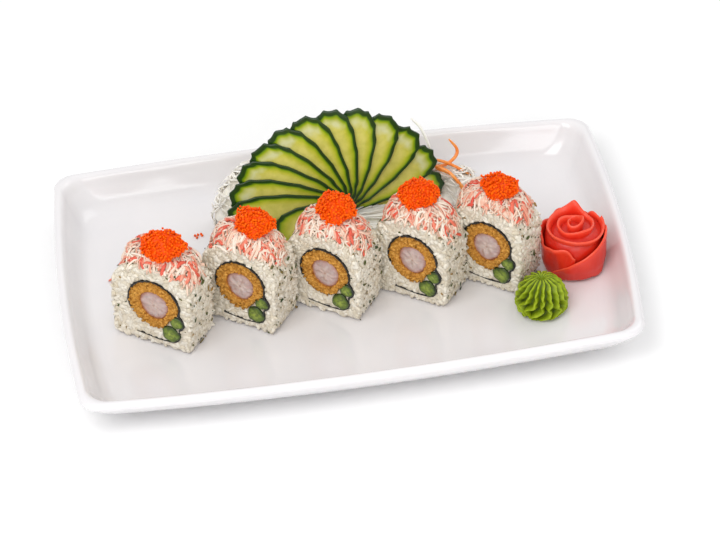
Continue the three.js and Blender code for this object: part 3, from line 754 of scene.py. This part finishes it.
def make_crust(index, rng):
    angle = turns(170)
    tube = filling_tube(angle, shrimp_radius(angle) + 0.1, crust_radius(angle), (13, 8), 0.2, 0.5)
    rings, share, along, outward = tube
    coarse, fine = rough(rings, 2.4, 60 + index), rough(rings, 0.9, 80 + index)
    rings = rings + outward * ((coarse * 0.8 + fine * 0.45) * (share > 0.2))[..., None]
    on_face = (share > 0.05) & (share < 0.97)
    rings[..., 1] += facing(along) * (coarse * 0.6 + fine * 0.85) * on_face
    body = Body()
    body.torus(rings, share)
    turn, out = rng.uniform(0, TAU, CRUMBS), rng.uniform(0.06, 1.0, CRUMBS)
    radius = shrimp_radius(turn) + 0.2 + (crust_radius(turn) - shrimp_radius(turn) - 0.2) * out
    cut = np.where(rng.uniform(0, 1, CRUMBS) < 0.6, -0.25, ROLL_LENGTH + 0.25)
    places = around_filling(turn, radius, cut)
    sizes = rng.uniform(0.35, 1.15, (CRUMBS, 1)) * CRUMB_SIZE
    axes = stand_up(rng, np.tile([0.0, -1.0, 0.0], (CRUMBS, 1)), 0.6)
    body.copies(CRUMB, places, axes, sizes, out)
    return body


def make_shrimp(index):
    """A plump round of shrimp, furrowed from its middle out."""
    angle = turns(96)
    out = np.linspace(0.04, 1, 12)
    crown = 0.9 * (1 - out**3)
    share = np.concatenate([out, np.ones(4), out[::-1]])[:, None]
    along = np.concatenate([0.7 - crown, np.linspace(5, 20, 4), ROLL_LENGTH - 0.7 + crown[::-1]])[:, None]
    rings = around_filling(angle, (shrimp_radius(angle) + 0.25) * share, along)
    furrow = np.cos(angle * 6 + rough(rings, 5, 100 + index) * 2.4 + index)
    furrow = furrow * np.clip(share * 2.5, 0, 1) * (share < 0.98)
    rings[..., 1] += facing(along) * (0.22 * furrow + 0.4 * rough(rings, 2.0, 120 + index))
    body = Body()
    body.loft(rings, share)
    return body


def make_stem(index, n):
    """A green stem across the whole roll, its cut ends a little domed."""
    stem, angle = STEMS[n], turns(40)
    face = np.array([0.05, 0.35, 0.65, 0.85, 0.95, 1.0])
    dome = np.array([0.0, 0.05, 0.12, 0.25, 0.45, 0.9])
    share = np.concatenate([face, np.ones(5), face[::-1]])[:, None]
    along = np.concatenate([-0.8 + dome, np.linspace(3, 22, 5), ROLL_LENGTH + 0.4 - dome[::-1]])[:, None]
    lumps = 1 + 0.06 * np.cos(3 * angle + index) + 0.04 * np.cos(5 * angle + 2 * n)
    radius = stem["radius"] * share * lumps
    rings = xyz(stem["across"] + radius * np.cos(angle), along, stem["up"] + radius * np.sin(angle))
    rings = rings + 0.25 * np.stack([rough(rings, 2, seed) for seed in (140 + index, 150, 160)], -1)
    body = Body()
    body.loft(rings, share)
    return body


# Crab and roe


def over_crown(aside, along, lift):
    """Points over the roll's top: a distance along its curve from the crest, and a height above it."""
    crown = OUTLINE[OUTLINE[:, 1] > ROLL_HEIGHT - CROWN_RISE][::-1]
    travelled = np.concatenate([[0], np.cumsum(np.hypot(*np.diff(crown, axis=0).T))])
    travelled -= travelled[np.argmax(crown[:, 1])]
    direction = np.gradient(crown, axis=0)
    direction /= np.hypot(*direction.T)[:, None]
    across = np.interp(aside, travelled, crown[:, 0]) - np.interp(aside, travelled, direction[:, 1]) * lift
    up = np.interp(aside, travelled, crown[:, 1]) + np.interp(aside, travelled, direction[:, 0]) * lift
    return xyz(across, along, up)


def crab_lift(aside, along):
    """How far the crab stands above the rice, down to nothing at its edge."""
    away = np.hypot(aside / CRAB_REACH[0], (along - CRAB_MIDDLE) / CRAB_REACH[1])
    bulk = CRAB_GAP + CRAB_THICKNESS + CRAB_MOUND * dip(aside, 0, 13) + 1.9 * dip(aside, -15, 6)
    return (bulk - 0.8) * np.clip((1.04 - away) * 2.6, 0, 1)


def make_crab(index, rng):
    """A lumpy bed over the crown, with shreds, flakes and crumbs of crab that lie on it every way."""

    def draw(low, high):
        return rng.uniform(low, high, CRAB_STRIPS)

    aside, along = np.meshgrid(np.linspace(-17.5, 18, 44), np.linspace(2.4, 24.4, 30))
    bed = xyz(aside, along, 0)
    lift = np.maximum(crab_lift(aside, along) + 1.1 * rough(bed, 2.2, 210 + index) - 0.9, 0)
    aside = aside + 1.5 * rough(bed, 3.2, 200 + index)
    along = along + 1.2 * rough(bed, 2.9, 220 + index)
    tones = 0.3 + 0.5 * rough(bed, 2.4, 230 + index)
    body = Body()
    body.sheet(over_crown(aside, along, (lift - 0.8) / 2), (lift + 0.8)[..., None], tones, eased=False)

    kind = rng.choice(3, CRAB_STRIPS, p=CRAB_SHARES)
    spread = np.sqrt(draw(0.01, 1)) * np.where(draw(0, 1) > 0.93, 1.14, 1)
    around = draw(0, TAU)
    length, width, tones = (
        np.choose(kind, [draw(*span) for span in spans]) for spans in (CRAB_LENGTHS, CRAB_WIDTHS, CRAB_TONES)
    )
    width = width + 0.8 * ((kind == 0) & (draw(0, 1) > 0.85))
    heading = around + rng.normal(0, 0.75, CRAB_STRIPS)
    reach = length[:, None] * np.linspace(-0.5, 0.5, 6)
    turned = heading[:, None] + rng.normal(0, 0.09, CRAB_STRIPS)[:, None] * reach
    aside = (CRAB_REACH[0] * spread * np.cos(around))[:, None] + np.cos(turned) * reach
    along = (CRAB_MIDDLE + CRAB_REACH[1] * spread * np.sin(around))[:, None] + np.sin(turned) * reach
    over = np.maximum(np.abs(along - ROLL_LENGTH / 2) - ROLL_LENGTH / 2, 0)
    along = np.clip(along, -0.5, ROLL_LENGTH + 0.5)
    bulk = crab_lift(aside, along)
    loose = draw(-0.7, 0.8)[:, None] * np.clip(bulk, 0, 1)
    paths = over_crown(aside, along, 0.35 + bulk + loose - 1.1 * over)
    normals = xyz((paths[..., 0] - ROLL_CREST) / 22, (along - CRAB_MIDDLE) / 60, 1)
    normals = normals + rng.normal(0, 0.35, (CRAB_STRIPS, 1, 3))
    body.strips(paths, normals, width, np.minimum(width * draw(0.55, 0.85), 1.1), tones)

    aside = rng.uniform(-1.05, 1.05, CRAB_HERBS) * CRAB_REACH[0]
    along = rng.uniform(1, ROLL_LENGTH - 1, CRAB_HERBS)
    upward = over_crown(aside, along, 1.0) - over_crown(aside, along, 0.0)
    sizes = rng.uniform(0.35, 1.0, (CRAB_HERBS, 1)) * HERB_SIZE
    places = over_crown(aside, along, crab_lift(aside, along) + 0.75)
    body.copies(HERB, places, stand_up(rng, upward, 0.2), sizes, rng.uniform(0, 1, CRAB_HERBS), 1)
    return body


def make_roe(index, roll, rng):
    """A rough mound of round grains on a core of the same colour."""
    aside, back = roll["roe"]
    seat = ROLL_HEIGHT + CRAB_GAP + CRAB_THICKNESS + CRAB_MOUND - 1.2
    middle = np.array([ROLL_CREST + aside, ROLL_LENGTH / 2 + back, seat])

    def mound(angle, high, grow):
        wide = np.interp(high, ROE_LEVELS[:, 1], ROE_LEVELS[:, 0])
        lobes = 0.05 * np.sin(angle * 2 + index * 1.9) + 0.05 * np.sin(angle * 5 + index)
        lobes = lobes + 0.04 * np.sin(angle * 3)
        front = 0.14 * dip(np.cos(angle + math.pi / 2 - 0.2), 1, 0.16)
        radius = (ROE_RADIUS * roll["mound"] * wide + grow) * (1 + lobes + front * (1 - high))
        z = high * (ROE_HEIGHT * roll["mound"] + grow) * (1 + lobes * 0.6) - front * 9 * (1 - high)
        points = middle + xyz(radius * np.cos(angle), 0.84 * radius * np.sin(angle), z)
        return middle + (points - middle) * (1 + 0.13 * rough(points, 3.6, 250 + index)[..., None])

    body = Body()
    body.loft(mound(turns(40), np.linspace(0, 0.97, 10)[:, None] * np.ones(40), -2.1), 0.2)
    angle = np.arange(ROE_GRAINS) * GOLDEN_ANGLE + rng.uniform(-0.12, 0.12, ROE_GRAINS)
    high = 1 - (1 - np.arange(ROE_GRAINS) / ROE_GRAINS) ** 0.72
    grow = rng.uniform(-2.0, -1.0, ROE_GRAINS)
    proud = rng.uniform(0, 1, ROE_GRAINS) > 0.8
    grow = grow + proud * rng.uniform(0, 0.8, ROE_GRAINS)
    places = mound(angle, np.clip(high + rng.normal(0, 0.012, ROE_GRAINS), 0, 1), grow)
    sizes = ROE_GRAIN * rng.uniform(0.85, 1.15, (ROE_GRAINS, 1))
    body.copies(ROE_BALL, places, np.eye(3)[None], sizes, rng.uniform(0, 1, ROE_GRAINS))
    return body


def roll_finishes():
    """The materials of each layer; herb flakes share a piece with the rice and the crab."""
    herb = Finish("herb flakes", 0.7)
    dried = [(0, 34, 56, 18), (0.5, 74, 84, 30), (0.8, 112, 96, 44), (1, 160, 124, 66)]
    herb.dress(herb.ramp(herb.tone(), *dried), herb.noise(0.4, 2), 0.1, 0.6)

    rice = Finish("rice", 0.4, subsurface=0.25, depth=1, coat=0.1, bleed=EVEN_BLEED)
    grains = rice.ramp(rice.tone(), (0, 210, 198, 175), (1, 237, 230, 215))
    rice.dress(grains, rice.noise(0.8, 2), 0.05, 0.5)

    nori = Finish("seaweed", 0.5, coat=0.05)
    nori.dress(nori.ramp(nori.noise(1.4, 4), (0.3, 18, 20, 20), (0.75, 44)), nori.noise(0.7), 0.2, 0.8)

    crust = Finish("fried crust", 0.7, gloss=0.15)
    crumb = crust.ramp(crust.noise(1.5, 5), (0.34, 124, 76, 20), (0.5, 194, 138, 54), (0.64, 234, 184, 98))
    # Across the crust from the shrimp out: a dark line of painted shade next to the shrimp, golden through
    # the middle, browner towards the outside.
    browning_and_shade = [(0, 158, 84, 32), (0.14, 206, 146, 66), (0.75, 196, 138, 58)]
    browning_and_shade += [(0.92, 142, 90, 30), (1, 104, 62, 20)]
    browned_and_shaded = crust.blend(0.5, crumb, crust.ramp(crust.tone(), *browning_and_shade))
    crust.dress(browned_and_shaded, crust.noise(0.5, 4), 0.35, 0.9)

    shrimp = Finish("shrimp", 0.38, subsurface=0.3, depth=2, coat=0.2)
    # The meat turns orange-brown at its edge: painted shade where the crust closes round it.
    meat = [(0, 168, 130, 112), (0.12, 200, 182, 172), (0.75, 190, 168, 164)]
    meat += [(0.93, 182, 136, 120), (1, 182, 106, 74)]
    marbling = shrimp.ramp(shrimp.noise(2.2, 4, (1, 0.4, 1)), (0.4, 255), (0.62, 226, 204, 200))
    marbled = shrimp.blend(0.6, shrimp.ramp(shrimp.tone(), *meat), marbling, "MULTIPLY")
    shrimp.dress(marbled, shrimp.noise(1.2), 0.2, 0.7)

    stem = Finish("green stem", 0.45, subsurface=0.1, depth=1, coat=0.1)
    cut = stem.ramp(stem.tone(), (0, 150, 166, 64), (0.6, 116, 136, 32), (0.9, 70, 92, 14), (1, 42, 62, 8))
    streaks = stem.ramp(stem.noise(1.6, 4), (0.38, 150, 160, 110), (0.6, 255))
    stem.dress(stem.blend(0.8, cut, streaks, "MULTIPLY"), stem.noise(0.9), 0.2, 0.7)

    crab = Finish("shredded crab", 0.45, subsurface=0.15, depth=1, coat=0.1, bleed=(1, 0.8, 0.7))
    shreds = [(0, 241, 229, 213), (0.35, 236, 206, 184), (0.6, 231, 167, 141)]
    shreds += [(0.82, 228, 111, 84), (1, 216, 71, 50)]
    crab.dress(crab.ramp(crab.tone(), *shreds), crab.noise(0.7, 2), 0.12, 0.6)

    roe = Finish("roe", 0.35, gloss=0.14)
    roe.dress(roe.ramp(roe.tone(), (0, 240, 76, 0), (1, 252, 110, 0)), roe.noise(0.5, 1), 0.03, 0.4)
    return {
        "rice": [rice.material, herb.material],
        "seaweed": [nori.material],
        "crust": [crust.material],
        "shrimp": [shrimp.material],
        "stem": [stem.material],
        "crab": [crab.material, herb.material],
        "roe": [roe.material],
    }


def make_roll(index, roll, finishes):
    rng = np.random.default_rng(1000 + index)
    rice = make_rice(index, rng)
    add_herbs(rice, rng)
    layers = [
        ("rice_grains", "rice", rice),
        ("nori", "seaweed", make_seaweed(index)),
        ("fried_crust", "crust", make_crust(index, rng)),
        ("shrimp_meat", "shrimp", make_shrimp(index)),
        ("stem_1_green", "stem_1", make_stem(index, 0)),
        ("stem_2_green", "stem_2", make_stem(index, 1)),
        ("crab_shreds", "crab", make_crab(index, rng)),
        ("roe_grains", "roe", make_roe(index, roll, rng)),
    ]
    for name, node, body in layers:
        slot = node.split("_")[0]
        piece(f"roll_{index + 1}_{name}", body, finishes[slot], f"roll_{index + 1}_{node}", roll)


# Cucumber fan


def fan_slices():
    """The slices from the left, with the short one that lies over the first of them in front."""
    middle = (FAN_SLICES - 1) / 2
    slices = [{**SMALL_SLICE, "place": (middle + 1) * SLICE_PITCH}]
    for i in range(FAN_SLICES):
        angle = FAN_FIRST_ANGLE - FAN_STEP * i - FAN_SPREAD * i**3
        place = (middle - i) * SLICE_PITCH
        slices.append({"place": place, "angle": angle, "length": FAN_RADIUS, "width": SLICE_WIDTH})
    return slices


def in_fan(points, place, angle):
    """Points of an upright slice, out along +X from the pivot, turned into their place in the fan."""
    x, y, z = np.moveaxis(points, -1, 0)
    c, s = math.cos(math.radians(angle)), math.sin(math.radians(angle))
    a, b, d = x * c - y * s, x * s + y * c, z + place
    cl, sl = math.cos(FAN_LEAN), math.sin(FAN_LEAN)
    px, py, pz = FAN_PIVOT
    return xyz(px + a, py + b * cl - d * sl, pz + b * sl + d * cl)


def fan_back(x, z):
    """How far back a slice's rear face is at a place in the fan, and how far that is from the pivot."""
    slices = fan_slices()[:0:-1]
    px, py, pz = FAN_PIVOT
    angle = np.degrees(np.arctan2(z - pz, x - px))
    angle = np.where(angle < -90, angle + 360, angle)
    place = np.interp(angle, [s["angle"] for s in slices], [s["place"] for s in slices]) - SLICE_THICKNESS
    up = (z - pz - place * math.cos(FAN_LEAN)) / math.sin(FAN_LEAN)
    return py + up * math.cos(FAN_LEAN) - place * math.sin(FAN_LEAN), np.hypot(x - px, up)


def slice_side(values, ridge):
    """One coordinate of a slice's outline, as a share of half its size."""
    return np.sign(values) * np.abs(values) ** SLICE_SQUARENESS * ridge


def make_slice(n, s, material):
    """A slice with a ridged rind; tone is how far a point is from the rind, as a share of a span."""
    angle = turns(108)
    uneven = 0.5 * rough(xyz(np.cos(angle) * 9, np.sin(angle) * 9, 0), 3.1, n)
    corners = 1 - 2 * np.abs(np.sin((angle + uneven * 0.3) * SLICE_RIDGES / 2 + n))
    ridge = 1 + SLICE_RIDGE * (corners + uneven)
    x = (s["length"] / 2 + 1) * slice_side(np.cos(angle), ridge)
    y = s["width"] / 2 * slice_side(np.sin(angle), ridge)
    face = np.array([0.02, 0.2, 0.4, 0.6, 0.75, 0.85, 0.9, 0.94, 0.97, 0.99, 1.0])
    half = SLICE_THICKNESS / 2 * np.array([0.9, 0.9, 0.9, 0.92, 0.95, 0.97, 0.98, 1, 0.98, 0.88, 0.5])
    share = np.concatenate([face, face[::-1]])[:, None]
    depth = np.concatenate([half, -half[::-1]])[:, None]
    outward = [np.gradient(np.pad(y, 1, mode="wrap"))[1:-1], -np.gradient(np.pad(x, 1, mode="wrap"))[1:-1]]
    to_rind = (x * outward[0] + y * outward[1]) / np.hypot(*outward)
    to_rind = np.convolve(np.pad(to_rind, 5, mode="wrap"), np.ones(11) / 11, mode="valid")
    rings = xyz(s["length"] * 0.45 + x * share, y * share, depth)
    rings[..., 2] += 0.1 * rough(rings, 7, 300 + n)
    rings = above(in_fan(rings, s["place"], s["angle"]), REST)
    span = RIND_SPAN * (1 + RIND_SPAN_AT_TIP * np.clip(np.cos(angle), 0, 1) ** 2)
    body = Body()
    body.loft(rings, np.clip((1 - share) * to_rind / span, 0, 1))
    piece(f"cucumber_slice_{n}", body, [material], f"cucumber_{n}")


def cucumber_finish():
    """Dark rind, a bright green line inside it, yellow-green flesh, and a pale painted highlight near the
    outer tip that stands for the sheen of light on the wet flesh.
    """
    finish = Finish("cucumber", 0.3, subsurface=0.08, depth=1, coat=0.15)
    rind = [
        (0.0, 24, 56, 14),
        (0.24, 36, 74, 14),
        (0.3, 108, 148, 8),
        (0.42, 170, 188, 26),
        (0.66, 208, 208, 74),
        (1.0, 224, 218, 116),
    ]
    cloudy = finish.ramp(finish.noise(5, 4), (0.4, 255), (0.68, 222, 226, 176))
    flesh = finish.blend(0.6, finish.ramp(finish.tone(), *rind), cloudy, "MULTIPLY")
    # Painted highlight: a pale band across the flesh, a set distance out from the fan's pivot and kept off
    # the rind, stands for the sheen of light near each slice's outer tip.
    px, py, pz = FAN_PIVOT
    pivot = (px * MM, (py + CENTRING) * MM, pz * MM)
    reach = finish.node("VectorMath", {0: finish.place, 1: pivot}, operation="DISTANCE").outputs["Value"]
    outward = finish.maths("MULTIPLY", reach, 1 / (70 * MM))
    outward = finish.maths("ADD", outward, finish.maths("MULTIPLY", finish.noise(7, 2), 0.16))
    painted_sheen = finish.ramp(outward, (0.76, 0), (0.82, 255), (0.86, 255), (0.91, 0))
    inside = finish.ramp(finish.tone(), (0.4, 0), (0.75, 203.42))
    share = finish.blend(1.0, painted_sheen, inside, "MULTIPLY")
    finish.dress(finish.blend(share, flesh, screen(226, 232, 202)), finish.noise(1.6), 0.08, 0.5)
    return finish.material


# Radish and carrot


def mound_point(shape, levels, angle, high, lift):
    """A point on a mound, from its angle and its height as a share; past 1 it closes over the top."""
    closing = np.clip(high - 1, 0, 1)
    wide = np.interp(high, levels[:, 1], levels[:, 0]) * (1 - closing)
    up = np.minimum(high, 1)
    lowered = 1 - shape["drop"] * np.maximum(0, np.cos(angle)) * up * (1 - closing)
    x = shape["x"] + (shape["wide"] * wide + lift) * np.cos(angle)
    y = shape["y"] + (shape["deep"] * wide + lift) * np.sin(angle)
    return xyz(x, y, REST + shape["high"] * up * lowered + lift * np.clip(high, 0.1, 1))


def behind_fan(points):
    """Moves what would cross the slices to just behind them."""
    x, y, z = np.moveaxis(points, -1, 0)
    back, reach = fan_back(x, z)
    inside = (reach < FAN_RADIUS + 2) & (z > REST + APRON["high"] * 0.6)
    return xyz(x, np.where(inside, np.maximum(y, back + 0.9), y), z)


def add_core(body, shape, levels, sink, waves, seed, clear):
    """The mound that the strands lie on."""
    high = np.concatenate([np.linspace(0, 1, 14), np.linspace(1.1, 1.97, 8)])[:, None]
    rings = mound_point(shape, levels, turns(72)[None], high, -sink)
    rings = rings + waves * rough(rings, 3.5, seed)[..., None]
    if clear:
        rings = behind_fan(rings)
    body.loft(above(rings, REST), 0.4)


def add_strands(body, rng, shape, levels, count, clear):
    """Shreds that lie every way over a mound, more of them along its long sides."""
    t = np.linspace(-0.5, 0.5, STRAND_STEPS)
    long_side = np.arccos(rng.uniform(-1, 1, count))
    angle = np.where(rng.uniform(0, 1, count) < 0.55, long_side, rng.uniform(0, TAU, count))
    high = rng.uniform(0.05, 1.75, count)
    heading = rng.normal(0, 0.7, count) + (rng.uniform(0, 1, count) > 0.5) * math.pi
    length = rng.uniform(16, 46, count)[:, None] * t
    turned = heading[:, None] + rng.normal(0, 0.035, count)[:, None] * length
    reach = np.hypot(shape["wide"] * np.sin(angle), shape["deep"] * np.cos(angle))
    angles = angle[:, None] + np.cos(turned) * length / np.maximum(reach, 14)[:, None]
    highs = np.clip(high[:, None] + np.sin(turned) * length / shape["high"], 0.02, 1.95)
    lift = rng.uniform(-0.2, 1.2, (count, 1)) + 1.6 * np.abs(2 * t) ** 3 * rng.uniform(0, 1, (count, 1))
    paths = mound_point(shape, levels, angles, highs, lift)
    if clear:
        paths = behind_fan(paths)
    paths = above(paths, REST + 0.6)
    centre = np.array([shape["x"], shape["y"], REST])
    normals = (paths - centre) / np.array([shape["wide"], shape["deep"], shape["high"]]) ** 2
    width = rng.uniform(0.9, 1.7, count)
    body.strips(paths, normals, width, width * rng.uniform(0.6, 0.9, count), rng.uniform(0, 1, count))


def make_radish(rng):
    finish = Finish("radish", 0.35, subsurface=0.45, depth=2, coat=0.1, bleed=EVEN_BLEED)
    shade = finish.blend(finish.noise(3, 2), screen(252, 242, 226), screen(255, 250, 240))
    colour = finish.blend(finish.tone(), shade, screen(255, 252, 244))
    finish.dress(colour, finish.noise(0.9, 2, (1, 1, 0.3)), 0.12, 0.6)
    body = Body()
    add_core(body, HEAP, TALL_LEVELS, 1.3, 0.8, 5, True)
    add_core(body, APRON, LOW_LEVELS, 1.0, 0.6, 6, False)
    add_strands(body, rng, HEAP, TALL_LEVELS, TALL_STRANDS, True)
    add_strands(body, rng, APRON, LOW_LEVELS, LOW_STRANDS, False)
    add_strands(body, rng, HEAP_END, LOW_LEVELS, END_STRANDS, True)
    body.strip(UPRIGHT_SHRED, 12, [0.0, -1, 0.3], 1.6, 1.3, 0.9)
    piece("shredded_radish", body, [finish.material], "radish_shreds")


def make_carrot():
    finish = Finish("carrot", 0.3, subsurface=0.35, depth=2, coat=0.3)
    flesh = finish.ramp(finish.noise(3.5), (0.3, 250, 134, 36), (0.7, 255, 164, 78))
    finish.dress(flesh, finish.noise(0.7, 2), 0.08, 0.5)
    body = Body()
    for route in CARROT_STRIPS:
        body.strip(route, 22, [0.1, -0.4, 1.0], 1.9, 1.3, 0.5)
    piece("carrot_strips", body, [finish.material], "carrot_shreds")


# Ginger rose and wasabi


def rose_points(reach, angle, high):
    return xyz(ROSE["x"] + reach * np.cos(angle), ROSE["y"] + reach * np.sin(angle), REST + high)


def add_spiral(body):
    """The slices wound round the middle, with one pointed tip at the back."""
    radius, height = ROSE["radius"], ROSE["height"]
    wound, v = np.linspace(0, 1, 330)[:, None], np.linspace(0, 1, 12)
    angle = wound * ROSE_TURNS * TAU + ROSE_START
    out = 1.6 + (radius * 0.9 - 1.6) * wound
    tip = np.exp(-(np.abs((wound - ROSE_TIP) / 0.022) ** 1.5))
    waves = 0.03 * np.sin(angle * 1.31) + 0.025 * np.sin(angle * 2.3) + 0.19 * tip
    rim, foot = height * (0.97 - 0.13 * wound + waves), height * 0.5
    flare = 1 + 0.1 * (v - 0.6) + 0.7 * np.maximum(0, v - 0.72) ** 1.5
    grid = rose_points(out * flare, angle, foot + (rim - foot) * v)
    body.sheet(grid + 0.25 * rough(grid, 6, 400)[..., None], 1.5, v)


def add_petal(body, n, start, sweep, top, end):
    """A wide slice lapped round the rose's side."""
    radius, height = ROSE["radius"], ROSE["height"]
    s, v = np.linspace(0, 1, 60)[:, None], np.linspace(0, 1, 18)
    angle = np.radians(start - sweep * s)
    edge = height * (end + (top - end) * (1 - s**1.7)) * (1 - 0.25 * dip(s, 0, 0.08))
    high = edge * v
    belly = np.interp(high / height, PETAL_HEIGHTS, PETAL_WIDTHS)
    lap = 0.99 + 0.05 * np.sin(np.pi * s) + 0.012 * n
    curl = 0.07 * np.maximum(0, v - 0.8) / 0.2 * (edge / height)
    curl = curl + 0.1 * dip(angle, -0.72, 0.2) * np.clip(1 - high / 6, 0, 1)
    grid = rose_points(radius * (belly * lap + curl) - 0.4, angle, high)
    grid = grid + 0.7 * rough(grid * (1, 1, 0.5), 6.5, 420 + n)[..., None]
    body.sheet(above(grid, REST + 0.5), 1.3, v**3)


def make_rose():
    """Thin slices of ginger wound into a bud, with wider ones lapped round its side."""
    finish = Finish("pickled ginger", 0.34, subsurface=0.3, depth=2, coat=0.15, gloss=0.35)
    flesh = finish.ramp(finish.noise(5, 3, (1, 1, 0.35)), (0.25, 220, 38, 20), (0.75, 240, 68, 42))
    # Painted shade and highlight: the slices are darker red low down in their folds and paler coral along
    # their top rims.
    painted_shade_and_rim_highlight = finish.ramp(finish.tone(), (0, 190, 20, 8), (0.7, 236, 54, 30), (1, 250, 104, 74))
    finish.dress(finish.blend(0.55, flesh, painted_shade_and_rim_highlight), finish.noise(2.2, 3, (1, 1, 0.25)), 0.4, 0.5)
    body = Body()
    wide, high = np.array(ROSE_CORE).T[:, :, None]
    body.loft(rose_points(ROSE["radius"] * wide, turns(64), ROSE["height"] * high), 0.0)
    add_spiral(body)
    for n, petal in enumerate(PETALS):
        add_petal(body, n, *petal)
    piece("ginger_slices", body, [finish.material], "ginger_rose")


def make_wasabi():
    """A dome with thin wavy ridges that lean over in ruffles near its foot."""
    finish = Finish("wasabi", 0.5, subsurface=0.1, depth=1, gloss=0.3)
    shade = finish.ramp(finish.noise(2.2), (0.3, 140, 162, 14), (0.7, 168, 188, 32))
    # Painted shade: the grooves between the ridges are darkened to a deep green, and the ridge crests keep
    # the lighter green.
    colour = finish.blend(finish.maths("POWER", finish.tone(), 0.7), screen(66, 84, 2), shade)
    finish.dress(colour, finish.noise(0.6), 0.15, 0.6)
    angle = turns(WASABI["ridges"] * 14)
    wide, high = smooth_path(WASABI_LEVELS, 60).T[:, :, None]
    high = np.clip(high, 0, 1)
    crest = (0.5 + 0.5 * np.cos(angle * WASABI["ridges"])) ** 1.7
    ruffle = np.sin(high * 15 + 1.6 * np.sin(angle * 3) + angle * 2) * np.clip(0.62 - high, 0, 1) * 0.42
    wander = 0.06 * np.sin(high * 11 + angle * 2) + 0.03 * np.sin(high * 31 + angle * 5)
    depth = 0.27 * np.clip(wide * 1.6, 0, 1)
    ripple = 0.02 * np.sin(high * 40 + angle * 7) * crest
    radius = WASABI["radius"] * wide * (1.03 - depth * (1 - crest) + ripple)
    wound = angle + WASABI["twist"] * high + ruffle + wander
    x, y = WASABI["x"] + radius * np.cos(wound), WASABI["y"] + radius * np.sin(wound)
    rings = xyz(x, y, REST + WASABI["height"] * high)
    rings = rings + 0.22 * rough(rings, 1.1, 500)[..., None]
    body = Body()
    body.loft(above(rings, REST), crest)
    piece("wasabi_dome", body, [finish.material], "wasabi")


# Loose scraps on the plate's floor


def make_scraps(finishes):
    rng = np.random.default_rng(13)
    body = Body()
    places = xyz(*LOOSE_ROE.T, FLOOR + ROE_GRAIN * 0.95)
    body.copies(ROE_BALL, places, np.eye(3)[None], np.full((len(places), 1), ROE_GRAIN * 1.1), 0.6)
    piece("loose_roe", body, finishes["roe"])
    body = Body()
    for x, y, turn, length, tone in LOOSE_CRAB:
        t = np.linspace(-0.5, 0.5, 6) * length
        path = xyz(x + np.cos(turn) * t, y + np.sin(turn) * t, FLOOR + 0.75 + 0.2 * rng.uniform(0, 1, 6))
        body.strips(path[None], np.tile([0.0, 0.2, 1.0], (1, 6, 1)), [1.5], [0.9], tone)
    piece("loose_crab", body, finishes["crab"])


# Floor, light and camera


def make_studio():
    size = STUDIO_SIZE
    mesh = bpy.data.meshes.new("floor")
    corners = [(-size, -size, 0), (size, -size, 0), (size, size, 0), (-size, size, 0)]
    mesh.from_pydata(corners, [], [(0, 1, 2, 3)])
    floor = bpy.data.objects.new("floor", mesh)
    bpy.context.collection.objects.link(floor)
    floor.location.z = -0.5 * MM
    finish = Finish("floor", 0.8)
    finish.dress(finish.ramp(finish.noise(300, 1), (0.3, 246.99), (0.7, 250.46)))
    floor.data.materials.append(finish.material)
    world = bpy.data.worlds.new("studio")
    world.use_nodes = True
    background = world.node_tree.nodes["Background"]
    background.inputs["Color"].default_value = (1, 1, 1, 1)
    background.inputs["Strength"].default_value = SKY
    bpy.context.scene.world = world
    for place, width, power in LAMPS:
        light = bpy.data.lights.new("softbox", "AREA")
        light.size = width
        light.energy = power
        lamp = bpy.data.objects.new("softbox", light)
        lamp.location = place
        lamp.rotation_euler = (-Vector(place)).to_track_quat("-Z", "Y").to_euler()
        bpy.context.collection.objects.link(lamp)


def make_camera():
    az, el, roll = CAMERA_AZIMUTH, CAMERA_ELEVATION, CAMERA_ROLL
    back = Vector((math.sin(az) * math.cos(el), -math.cos(az) * math.cos(el), math.sin(el)))
    level = Vector((math.cos(az), math.sin(az), 0))
    upright = back.cross(level)
    right = level * math.cos(roll) + upright * math.sin(roll)
    up = upright * math.cos(roll) - level * math.sin(roll)
    data = bpy.data.cameras.new("camera")
    data.lens = CAMERA_LENS
    data.sensor_width = CAMERA_SENSOR
    data.clip_end = CAMERA_CLIP
    camera = bpy.data.objects.new("camera", data)
    turn = Matrix((right, up, back)).transposed().to_4x4()
    place = (Vector(CAMERA_TARGET) + Vector((0, CENTRING, 0)) + back * CAMERA_DISTANCE) * MM
    camera.matrix_world = Matrix.Translation(place) @ turn
    bpy.context.collection.objects.link(camera)
    bpy.context.scene.camera = camera


make_studio()
make_camera()
make_plate()
finishes = roll_finishes()
for index, roll in enumerate(ROLLS):
    make_roll(index, roll, finishes)
cucumber = cucumber_finish()
for n, s in enumerate(fan_slices()):
    make_slice(n + 1, s, cucumber)
make_radish(np.random.default_rng(11))
make_carrot()
make_rose()
make_wasabi()
make_scraps(finishes)
bpy.context.scene.view_settings.view_transform = "Standard"
